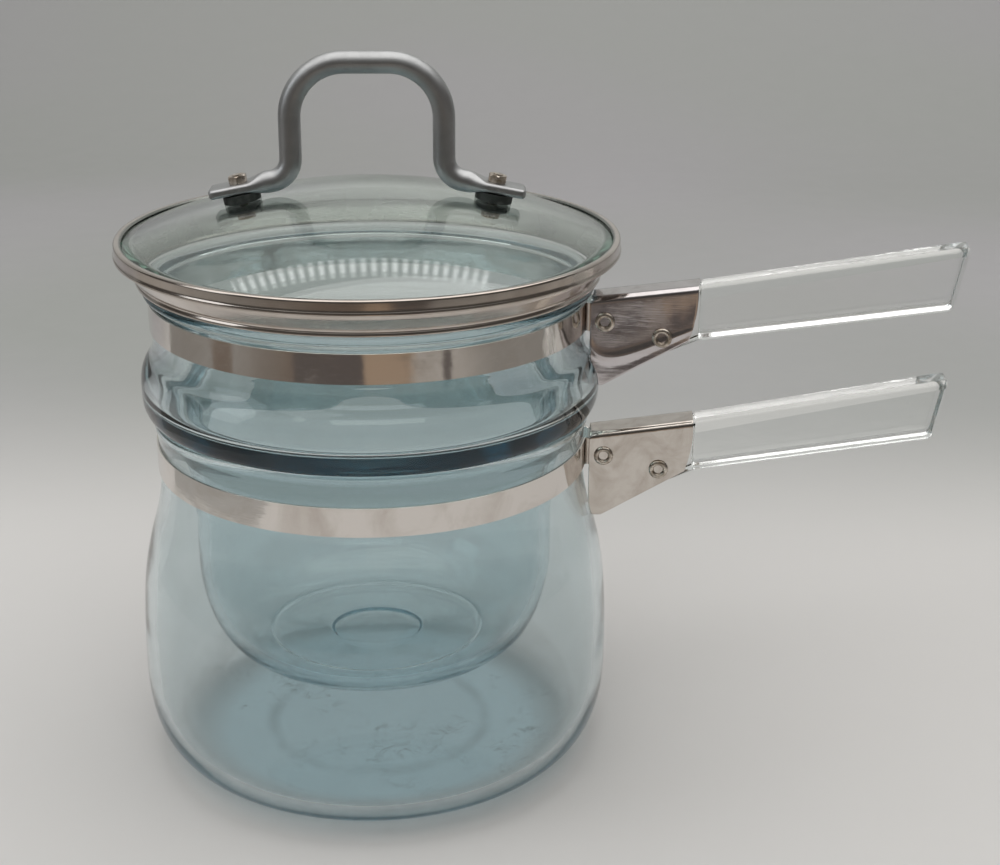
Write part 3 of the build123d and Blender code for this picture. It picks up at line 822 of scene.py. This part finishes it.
def edge_filled(t, v, top, foot, left, right):
    """Fill a patch from its four edges: the two blends of opposite edges added up, less
    the blend of the four corners, which they share."""
    across = (1 - t) * left + t * right
    down = (1 - v) * top + v * foot
    corners = (1 - v) * ((1 - t) * top[:, :1] + t * top[:, -1:]) + v * ((1 - t) * foot[:, :1] + t * foot[:, -1:])
    return across + down - corners


def bracket_side(pot, cols, rows):
    """Places (x, z) of one side, rows from the fold to the foot, columns from the pot
    to the nose."""
    top_z = tops[pot]
    t = np.linspace(0, 1, cols)[None, :]
    v = np.linspace(0, 1, rows)[:, None]
    near = math.sqrt(bracket_x**2 - half_w**2)
    mouth_x, mouth_z = bracket_x + bracket_len, top_z + bracket_len * bracket_tilt
    low_x, low_z = mouth_x - 2.3 * mm, mouth_z - 17.3 * mm
    toe_x, toe_z = bracket_x + 4 * mm, top_z - 28.3 * mm
    left_z = top_z - fold_r + (toe_z - top_z + fold_r) * v
    standing = np.maximum(wall_radius(pot, left_z) + 0.5 * mm, bracket_x)
    left_x = np.sqrt(standing**2 - half_w**2)
    right_z = mouth_z - fold_r + (low_z - mouth_z + fold_r) * v
    right_x = mouth_x - 2.3 * mm * v + 0.7 * mm * 4 * v * (1 - v)
    top_x = near + (mouth_x - near) * t
    fold_z = top_z - fold_r + (top_x - bracket_x) * bracket_tilt
    foot_x = left_x[-1:] + (low_x - left_x[-1:]) * t
    foot_z = toe_z + (low_z - toe_z) * np.clip((foot_x - toe_x) / (low_x - toe_x), 0, 1)
    x = edge_filled(t, v, top_x, foot_x, left_x, right_x)
    z = edge_filled(t, v, fold_z, foot_z, left_z, right_z)
    return x, z, t, v


def bracket_grid(pot, dish, press):
    """Side, fold, top, fold, side: the rows go round the channel, the columns along it."""
    cols, rows, bend = 49, 37, 8
    x, z, t, v = bracket_side(pot, cols, rows)
    line = 0.78 - 0.29 * np.exp(-8 * t)
    crease = np.exp(-(((v - line) / 0.055) ** 2)) * np.sin(np.pi * (0.04 + 0.92 * t)) ** 0.5
    hollow = dish * np.sin(np.pi * t) ** 0.7 * np.sin(np.pi * v) ** 1.2 - press * crease
    side = np.stack([x, -half_w + hollow, z], -1)
    turn = np.linspace(0, np.pi / 2, bend)[1:, None]
    fold_y = -half_w + fold_r - fold_r * np.cos(turn) + 0 * t
    near = np.sqrt(bracket_x**2 - fold_y**2)
    fold_x = near + (bracket_x + bracket_len - near) * t
    base_z = tops[pot] - fold_r + (fold_x - bracket_x) * bracket_tilt
    fold = np.stack([fold_x, fold_y, base_z + fold_r * np.sin(turn)], -1)
    half = np.concatenate([side[::-1], fold])
    other = half[::-1] * [1, -1, 1]
    flat_y = np.linspace(-1, 1, 9)[1:-1, None] * (half_w - fold_r) + 0 * t
    near = np.sqrt(bracket_x**2 - flat_y**2)
    flat_x = near + (bracket_x + bracket_len - near) * t
    flat = np.stack([flat_x, flat_y, tops[pot] + (flat_x - bracket_x) * bracket_tilt], -1)
    return np.concatenate([half, flat, other])


def add_modifier(piece, name, kind, **settings):
    modifier = piece.modifiers.new(name, kind)
    for key, value in settings.items():
        setattr(modifier, key, value)
    return modifier


for pot, dish, press in (("lower", 0.16 * mm, 0.0), ("upper", 0.18 * mm, 0.32 * mm)):
    grid = turned(bracket_grid(pot, dish, press), pot_turn[pot])
    rows, cols = grid.shape[:2]
    channel = make_mesh(f"{pot}_channel", grid.reshape(-1, 3), quads(rows, cols, False, False)[:, ::-1].tolist(), bracket_steel[pot])
    outward = channel.data.polygons[len(channel.data.polygons) // 2].normal.z > 0
    if not outward:
        channel.data.flip_normals()
    add_modifier(channel, "sheet", "SOLIDIFY", thickness=0.5 * mm, offset=-1.0, use_even_offset=True)
    add_modifier(channel, "edge", "BEVEL", width=0.12 * mm, segments=2, limit_method="ANGLE", angle_limit=math.radians(50))
    stand_for(channel, f"{pot}_bracket")

# %% [markdown]
# Rivets
# The rivets are short tubes, rolled over on both sides into a ring. A ring is a turned
# outline again, only about an axis across the bracket, so the lathe's result is laid
# on its side and moved to the hole.


# %% Rivets
def rivet_outline():
    """One closed outline of the tube's wall, with a rolled head at both ends."""
    bore, body, head = 1.45 * mm, 2.0 * mm, 3.1 * mm
    face = half_w
    roll = 0.45 * mm
    upper = [
        (bore, 0.0),
        (bore, face + 0.1 * mm),
        (bore + 0.15 * mm, face + roll),
        (bore + 0.5 * mm, face + 2 * roll - 0.02 * mm),
        (head - 0.45 * mm, face + 2 * roll - 0.1 * mm),
        (head, face + roll),
        (head, face + 0.05 * mm),
        (body, face),
    ]
    lower = [(r, -z) for r, z in upper[::-1]]
    return outline(rounded(upper + lower, 0.3 * mm, 5))


def laid_across(points, x, z):
    """Turn a lathed shape's axis from Z to Y and move it to (x, z)."""
    points = np.asarray(points)
    return np.stack([points[:, 0] + x, -points[:, 2], points[:, 1] + z], -1)


rivet_places = {"band_rivet": (4.4 * mm, 8.2 * mm), "handle_rivet": (22.3 * mm, 15.2 * mm)}
for pot in ("lower", "upper"):
    for rivet, (along, drop) in rivet_places.items():
        points, faces = lathe(rivet_outline(), 64)
        x, z = bracket_x + along, tops[pot] + along * bracket_tilt - drop
        points = turned(laid_across(points, x, z), pot_turn[pot])
        tube_rivet = orient(make_mesh(f"{pot}_{rivet}_tube", points, faces, rivet_steel))
        stand_for(tube_rivet, f"{pot}_{rivet}")

# %% [markdown]
# Glass handles
# A handle is a thick bar of pressed glass that grows deeper and leans at its far end,
# with a thinner tenon that the bracket grips. Sections with rounded corners are set
# along it, each a little smaller where an end is rounded off, and joined into one skin.


# %% Glass handles
def corner_ring(width, height, radius, steps=9):
    """A rectangle with rounded corners, for many sections at once: a quarter circle of
    the corner radius round each inner corner. Widths, heights and radii are columns."""
    quarter = np.linspace(0, np.pi / 2, steps)
    turn = np.concatenate([quarter + k * np.pi / 2 for k in range(4)])[None, :]
    sign_y = np.repeat([1, -1, -1, 1], steps)[None, :]
    sign_z = np.repeat([1, 1, -1, -1], steps)[None, :]
    y = sign_y * (width / 2 - radius) + radius * np.cos(turn)
    z = sign_z * (height / 2 - radius) + radius * np.sin(turn)
    return y, z


def bevelled(y, z, from_z, slope=0.3):
    """A section with one more point on each side at a height, above which the sides
    lean in: the half width loses the slope times the height over that point."""
    half = y.shape[1] // 2
    left, right = y[:, half - 1 : half], y[:, :1]
    y = np.concatenate([y[:, :half], left, y[:, half:], right], 1)
    z = np.concatenate([z[:, :half], from_z, z[:, half:], from_z], 1)
    return y - np.sign(y) * slope * np.clip(z - from_z, 0, None), z


def handle_rings(pot):
    """Sections of tenon and bar. Share s runs along each part; the bar's sections are
    sheared so that its far end leans: x = root + s (length + lean times the height)."""
    top_z = tops[pot]
    mouth_x = bracket_x + bracket_len
    mouth_z = top_z + bracket_len * bracket_tilt
    root = mouth_x + 0.3 * mm
    tenon_x = bracket_x + 14 * mm
    s = np.array([0.0, 0.05, 0.5, 1.0])[:, None]
    x_tenon = tenon_x + s * (root + 0.4 * mm - tenon_x)
    high = top_z + (x_tenon - bracket_x) * bracket_tilt - 1.25 * mm
    low = top_z - 21.3 * mm + (mouth_z - 17.4 * mm - top_z + 21.3 * mm) * s
    inset = np.array([0.5, 0, 0, 0])[:, None] * mm
    y, z = bevelled(*corner_ring(9.7 * mm - 2 * inset, high - low - 2 * inset, 0.75 * mm + 0 * s), (high - low) / 2)
    tenon = np.stack([x_tenon + 0 * y, y, (high + low) / 2 + z], -1)

    edge_r = 1.5 * mm
    length = 76 * mm
    lean = 3.8 * mm
    far = np.linspace(0, np.pi / 2, 8)
    run = np.concatenate([0.9 * mm * (1 - np.cos(np.linspace(0, np.pi / 2, 5))), np.linspace(2 * mm, length - 3 * mm, 14), length - edge_r + edge_r * np.sin(far)])
    inset = np.concatenate([0.9 * mm * (1 - np.sin(np.linspace(0, np.pi / 2, 5))), np.zeros(14), edge_r * (1 - np.cos(far))])
    run, inset = run[:, None], inset[:, None]
    share = run / length
    high = mouth_z + 15.55 * mm * share
    low = mouth_z - 17.6 * mm + 13.1 * mm * share
    height = high - low
    y, z = corner_ring(11 * mm - 2 * inset, height - 2 * inset, edge_r + 0.02 * mm + 0 * run)
    y, z = bevelled(y, z, height / 2 - 4.2 * mm + 1.6 * mm * share)
    level = (z + height / 2) / height
    x = root + run + lean * share * level
    bar = np.stack([x, y, (high + low) / 2 + z], -1)
    return np.concatenate([tenon, bar])


for pot in ("lower", "upper"):
    points, faces = tube(handle_rings(pot))
    bar = orient(make_mesh(f"{pot}_glass_bar", turned(points, pot_turn[pot]), faces, handle_clear), 14)
    add_modifier(bar, "flat_faces", "WEIGHTED_NORMAL", keep_sharp=True, weight=50)
    stand_for(bar, f"{pot}_handle")

# %% [markdown]
# Lid handle
# The lid's handle is one aluminium rod, bent into an arch and pressed flat at both ends.
# Its middle line is laid out in the arch's plane, and its section changes on the way
# from a circle to a flat strip with rounded edges.

# %% Lid handle
lid_turn = 5.5
bolt_reach = 39.1 * mm
bolt_slope = math.asin(bolt_reach / dome_r)
dome_z = dome_centre_z + dome_r * math.cos(bolt_slope)


def over_dome(off, along=0.0):
    """Place (u, z) in the arch's plane at a height off the glass over the bolt, moved
    outwards along the foot."""
    u = bolt_reach + off * math.sin(bolt_slope) + along * math.cos(bolt_slope)
    return np.array([u, dome_z + off * math.cos(bolt_slope) - along * math.sin(bolt_slope)])


def handle_line():
    """Middle line of half the rod, from the top of the arch to the foot's tip: straight
    runs with circle arcs in the corners, then spaced evenly."""
    foot_off = 0.15 * mm + 2.6 * mm + 1.5 * mm
    ankle = over_dome(foot_off, -10 * mm)
    leg_u = 23.8 * mm
    top = glass_high.z + 38.9 * mm
    bend = 17 * mm
    crown = arc((leg_u - bend, top - bend), bend, 90, 0, 24)
    ankle_z = ankle[1] + (ankle[0] - leg_u) * math.tan(bolt_slope)
    corner = np.array([leg_u, ankle_z])
    turn = math.pi / 2 - bolt_slope
    reach = 7.2 * mm * math.tan(turn / 2)
    outward = np.array([math.cos(bolt_slope), -math.sin(bolt_slope)])
    start, end = corner + [0, reach], corner + outward * reach
    centre = start + [7.2 * mm, 0]
    sweep = arc(centre, 7.2 * mm, 180, 180 + math.degrees(turn), 16)
    tip = over_dome(foot_off, 9.4 * mm)
    line = outline(straight((0, top), (leg_u - bend, top), 6), crown, straight((leg_u, top - bend), start, 10), sweep, straight(end, tip, 20))
    run = np.concatenate([[0], np.cumsum(np.linalg.norm(np.diff(line, axis=0), axis=1))])
    even = np.linspace(0, run[-1], 130)
    return np.stack([np.interp(even, run, line[:, k]) for k in (0, 1)], -1), even


def rod_rings():
    """Sections set square to the line. Share f is 0 on the round rod and 1 on the foot:
    width and thickness go from the rod's to the strip's, and the corner radius with
    them. The last few sections shrink to round the tip."""
    half, run = handle_line()
    to_go = run[-1] - run
    f = np.clip((18.5 * mm - to_go) / (6.5 * mm), 0, 1)
    f = f * f * (3 - 2 * f)
    wide = 7.0 * mm + 3.9 * mm * f
    thick = 7.0 * mm - 4.05 * mm * f
    tip = np.clip(1 - to_go / (1.2 * mm), 0, 1)
    wide = wide - 2.6 * mm * (1 - np.sqrt(1 - tip**2 * 0.999))
    thick = thick - 0.9 * mm * (1 - np.sqrt(1 - tip**2 * 0.999))
    radius = np.minimum(thick / 2, 3.5 * mm * (1 - f) + 1.1 * mm * f) * 0.999
    line = np.vstack([half[::-1] * [-1, 1], half[1:]])
    both = lambda value: np.concatenate([value[::-1], value[1:]])[:, None]
    v, w = corner_ring(both(wide), both(thick), both(radius), 9)
    along = np.gradient(line, axis=0)
    along /= np.linalg.norm(along, axis=1)[:, None]
    up = np.stack([-along[:, 1], along[:, 0]], -1)
    u = line[:, :1] + w * up[:, :1]
    z = line[:, 1:] + w * up[:, 1:]
    return turned(np.stack([u + 0 * v, v + 0 * u, z + 0 * v], -1), lid_turn)


rod = orient(make_mesh("lid_bent_rod", *tube(rod_rings()), aluminium), 60)
stand_for(rod, "lid_handle")


# %% [markdown]
# Nuts
# A nut is a hexagon whose corners are cut back by a cone. Both are radii about one axis,
# so the nut's radius at any angle and height is simply the smaller of the two.


# %% Nuts
def nut_points(side):
    """Radius = the hexagon's flat over the cosine of the angle from the flat's middle,
    held below a cone near both faces; rings stand along the bolt's axis."""
    flat, tall, hole = 2.72 * mm, 2.38 * mm, 1.5 * mm
    angle = np.linspace(0, 2 * np.pi, 96, endpoint=False)
    to_flat = (angle + np.pi / 6) % (np.pi / 3) - np.pi / 6
    hexagon = np.minimum(flat / np.cos(to_flat), flat * 1.13)
    level = np.array([0, 0, 0.12, 0.3, 0.5, 0.7, 0.88, 1, 1]) * tall
    cone = flat * (1.0 + 0.9 * np.minimum(level, tall - level) / tall)[:, None]
    radius = np.minimum(hexagon[None, :], cone)
    radius[[0, -1]] = hole
    ring = np.stack([radius * np.cos(angle), radius * np.sin(angle), level[:, None] + 0 * radius], -1).reshape(-1, 3)
    slope = bolt_slope * side
    axis = np.array([math.sin(slope), 0, math.cos(slope)])
    flatway = np.array([math.cos(slope), 0, -math.sin(slope)])
    foot = over_dome(0.15 * mm + 2.6 * mm + 3.0 * mm)
    centre = np.array([foot[0] * side, 0, foot[1]])
    placed = centre + ring[:, :1] * flatway + ring[:, 1:2] * [0, 1, 0] + ring[:, 2:] * axis
    return turned(placed, lid_turn), quads(len(level), len(angle), True, True).tolist()


nuts = orient(make_mesh("lid_hex_nuts", *join_points([nut_points(1), nut_points(-1)]), rivet_steel), 35)
stand_for(nuts, "lid_nuts")

# %% [markdown]
# Floor
# The pot stands on one pale sheet of paper that curves up far behind it. Its colour carries painted light: nearly
# white round the pot, a soft grey-green further back and lighter again far back, standing in for how the lamps' light
# falls over it, with a breath of lilac painted as paper looks under mixed light. A paler, softly glowing disc under
# the pot is painted light in the glass's shadow, and the upright part glows a little for reflections only.


# %% Floor
def floor_finish():
    paper = Finish("paper_floor")
    # Painted fall of light: the paper is pale round the pot, darker behind and lighter again far back, standing in for
    # how the lamps' light falls; the lilac patches paint the cast of mixed light.
    back = paper.add("MapRange", {"Value": paper.height("Y"), "From Min": 0.13, "From Max": 0.38, "To Min": 0.0, "To Max": 1.0}, interpolation_type="SMOOTHSTEP").outputs["Result"]
    painted_falloff_tone = paper.blend(back, (0.65, 0.64, 0.63, 1), (0.385, 0.395, 0.38, 1))
    painted_falloff_tone = paper.blend(paper.span(paper.height("Y"), 0.45, 1.7, 0.0, 1.0), painted_falloff_tone, (0.51, 0.515, 0.505, 1))
    patch = paper.span(paper.noise(1.6, detail=1.0), 0.42, 0.62, 0.0, 0.6)
    lilac = paper.sum(patch, back, "MULTIPLY")
    wide = paper.blend(lilac, painted_falloff_tone, (0.49, 0.47, 0.50, 1))
    reach = paper.add("VectorMath", {0: paper.where}, operation="LENGTH").outputs["Value"]
    # Painted light: a paler disc on the paper under the pot, which also glows for all but diffuse rays, fills the
    # shadow that the glass casts.
    painted_light_under_pot = paper.span(reach, 0.052, 0.074, 1.0, 0.0)
    paper.link("Base Color", paper.blend(painted_light_under_pot, wide, (0.78, 0.83, 0.85, 1)))
    ray = paper.add("LightPath").outputs
    painted_glow_strength = paper.sum(paper.sum(1.0, ray["Is Diffuse Ray"], "SUBTRACT"), 0.20, "MULTIPLY")
    # Painted light in reflections: above 0.3 m the paper glows for glossy rays only, though it is no lamp.
    wall = paper.span(paper.height(), 0.30, 0.55, 0.0, 0.24)
    mirrored = paper.sum(wall, ray["Is Glossy Ray"], "MULTIPLY")
    paper.link("Emission Strength", paper.sum(paper.sum(painted_light_under_pot, painted_glow_strength, "MULTIPLY"), mirrored))
    paper.link("Emission Color", paper.blend(painted_light_under_pot, (0.98, 1.0, 0.95, 1), (0.80, 0.96, 1.0, 1)))
    paper.link("Roughness", paper.span(paper.noise(40.0, detail=2.0), 0.3, 0.7, 0.8, 0.95))
    paper.bump(paper.noise(900.0, detail=3.0), 0.05, 0.0002)
    return paper.material


def sheet_points():
    """A sheet seen from the side: flat floor, a quarter turn of large radius, upright;
    the same side view is repeated across its width."""
    bend = 0.9
    back = 0.9
    side = outline(
        straight((-6.0, 0), (back, 0), 16),
        arc((back, bend), bend, 270, 360, 24),
        straight((back + bend, bend), (back + bend, 3.0), 6),
    )
    across = np.linspace(-6.0, 6.0, 9)
    x, y = np.meshgrid(across, side[:, 0])
    z = side[:, 1, None] - 0.3 * mm + 0 * x
    return np.stack([x, y, z], -1).reshape(-1, 3), quads(len(side), len(across), False, False).tolist()


floor = make_mesh("floor", *sheet_points(), floor_finish())
print("floor made")

# %% [markdown]
# Reflection card
# Polished steel looks like steel only when it has something dark to mirror. A studio hangs dark cards and curtains
# round the set for this, just out of the picture. This one lies on the floor in front and at both sides, then hangs
# upright, and only reflections see it. Its patches are painted reflections: they are set by angle and stand for the
# furniture of a room, and the bands mirror its inner part, the lid's rim the part further out.


# %% Reflection card
def card_finish():
    card = Finish("dark_card", Roughness=0.9)
    place = card.add("SeparateXYZ", {"Vector": card.where}).outputs
    front = card.sum(place["Y"], -1.0, "MULTIPLY")
    angle = card.add("Math", {0: place["X"], 1: front}, operation="ARCTAN2").outputs[0]
    reach = card.add("VectorMath", {0: card.where}, operation="LENGTH").outputs["Value"]
    around = card.span(card.sum(angle, card.span(card.noise(6.0), 0.3, 0.7, -0.03, 0.03)), -2.0, 2.0, 0.0, 1.0)
    dark, brown = (0.085, 0.072, 0.068, 1), (0.165, 0.130, 0.105, 1)
    tan, grey = (0.34, 0.255, 0.185, 1), (0.27, 0.26, 0.245, 1)
    pale = (0.44, 0.42, 0.395, 1)
    # Painted reflections: the patches are set by angle round the pots so that the bands and the rim mirror them.
    near = card.ramp(around, [(0.10, grey), (0.17, grey), (0.18, brown), (0.222, brown), (0.23, grey), (0.365, brown), (0.378, dark), (0.512, dark), (0.519, tan), (0.61, tan), (0.63, pale), (0.682, pale), (0.686, dark), (0.696, dark), (0.70, pale), (0.80, grey)])
    far = card.ramp(around, [(0.10, pale), (0.28, grey), (0.45, brown), (0.515, brown), (0.525, tan), (0.565, tan), (0.572, dark), (0.635, dark), (0.645, grey), (0.90, pale)])
    edge = card.blend(card.span(reach, 0.34, 0.45, 0.0, 1.0), (0.40, 0.40, 0.39, 1), near)
    both = card.blend(card.span(reach, 0.58, 0.64, 0.0, 1.0), edge, far)
    card.link("Base Color", card.blend(card.span(reach, 0.95, 1.5, 0.0, 1.0), both, (0.10, 0.092, 0.085, 1)))
    return card.material


def round_the_front(side, left_reach):
    """A side view of (distance, height) points turned about the pots' axis, over the
    front and both sides. The first ring comes nearer on the left by a given reach."""
    angle = np.linspace(-200, 20, 90)[None, :]
    turn = np.radians(angle)
    reach = side[:, :1] + 0 * turn
    reach[:1] -= left_reach * np.clip((-115 - angle) / 25, 0, 1)
    points = np.stack([reach * np.cos(turn), reach * np.sin(turn), side[:, 1:] + 0 * turn], -1)
    return points.reshape(-1, 3), quads(*reach.shape, False, False).tolist()


card_side = straight((440 * mm, 1 * mm), (1300 * mm, 1 * mm), 10)
curtain_side = outline(arc((1.3, 0.401), 0.4, 270, 360, 12), straight((1.7, 0.401), (1.7, 1.1), 4))
dark = card_finish()
card = make_mesh("dark_card", *round_the_front(card_side, 150 * mm), dark)
curtain = make_mesh("dark_curtain", *round_the_front(curtain_side, 0), dark)
for screen in (card, curtain):
    screen.visible_camera = screen.visible_diffuse = screen.visible_shadow = False
card.visible_transmission = False
print("reflection card and curtain made")

# %% [markdown]
# Light
# One wide soft lamp overhead does most of the work, as a lit ceiling would. A weaker
# one stands to the left like a window, and a long thin one behind draws the bright
# streak in the domed lid. The room itself adds a low even light.

# %% Light
from mathutils import Matrix, Vector


def soft_lamp(name, place, aim, size, power, colour, mirrored=True):
    lamp = bpy.data.lights.new(name, "AREA")
    lamp.shape = "RECTANGLE"
    lamp.size, lamp.size_y = size
    lamp.energy = power
    lamp.color = colour
    holder = bpy.data.objects.new(name, lamp)
    bpy.context.scene.collection.objects.link(holder)
    holder.location = place
    holder.rotation_euler = (Vector(aim) - Vector(place)).to_track_quat("-Z", "Y").to_euler()
    holder.visible_camera = False
    holder.visible_glossy = mirrored
    return lamp


soft_lamp("overhead", (0.02, -0.05, 1.35), (0, 0, 0.1), (2.6, 1.74), 20.0, (1.0, 0.985, 0.96))
soft_lamp("left_window", (-1.3, -0.5, 0.75), (0, 0, 0.1), (0.6, 0.9), 2.5, (0.93, 0.97, 1.0))
soft_lamp("front_fill", (0.25, -1.4, 1.0), (0, 0, 0.05), (1.3, 0.5), 5.0, (1.0, 0.99, 0.97), mirrored=False)
streak = soft_lamp("streak", (-0.10, 0.60, 0.94), (0, -0.06, 0.18), (0.62, 0.085), 0.36, (1.0, 1.0, 1.0))
streak.use_nodes = True
wires = streak.node_tree
spot = wires.nodes.new("ShaderNodeNewGeometry").outputs["Parametric"]
beads = wires.nodes.new("ShaderNodeTexWave")
beads.inputs["Scale"].default_value = 8.0
wires.links.new(spot, beads.inputs["Vector"])
wires.links.new(beads.outputs["Fac"], wires.nodes["Emission"].inputs["Strength"])

world = bpy.data.worlds.new("room")
bpy.context.scene.world = world
world.use_nodes = True
world.node_tree.nodes["Background"].inputs["Color"].default_value = (0.50, 0.50, 0.49, 1)
world.node_tree.nodes["Background"].inputs["Strength"].default_value = 0.55
bpy.context.scene.cycles.max_bounces = 48
bpy.context.scene.cycles.transmission_bounces = 40
bpy.context.scene.cycles.glossy_bounces = 40
print("lamps", [lamp.name for lamp in bpy.data.lights])

# %% Camera
camera_place = (69.0 * mm, -521.8 * mm, 304.6 * mm)
heading = -2.99
pitch = 20.44
roll = 0.37
focal_px = 1701.0
picture_w = 1000.0
lens = bpy.data.cameras.new("camera")
lens.sensor_width = 36.0
lens.lens = focal_px / picture_w * lens.sensor_width
lens.clip_start = 0.01
camera = bpy.data.objects.new("camera", lens)
bpy.context.scene.collection.objects.link(camera)
camera.location = camera_place
turn = Matrix.Rotation(math.radians(-heading), 4, "Z")
tip = Matrix.Rotation(math.radians(90 - pitch), 4, "X")
bank = Matrix.Rotation(math.radians(roll), 4, "Z")
camera.rotation_euler = (turn @ tip @ bank).to_euler()
bpy.context.scene.camera = camera
bpy.context.scene.view_settings.view_transform = "Standard"

# %% Finishes of the last CAD parts, and end
for node, finish in {"handle_liner": liner_fibre}.items():
    for pot in ("lower", "upper"):
        frame["nodes"][f"{pot}_{node}"].data.materials.clear()
        frame["nodes"][f"{pot}_{node}"].data.materials.append(finish)
for node, finish in {"lid_pads": rubber, "lid_washers": rubber, "lid_bolts": rivet_steel}.items():
    frame["nodes"][node].data.materials.clear()
    frame["nodes"][node].data.materials.append(finish)
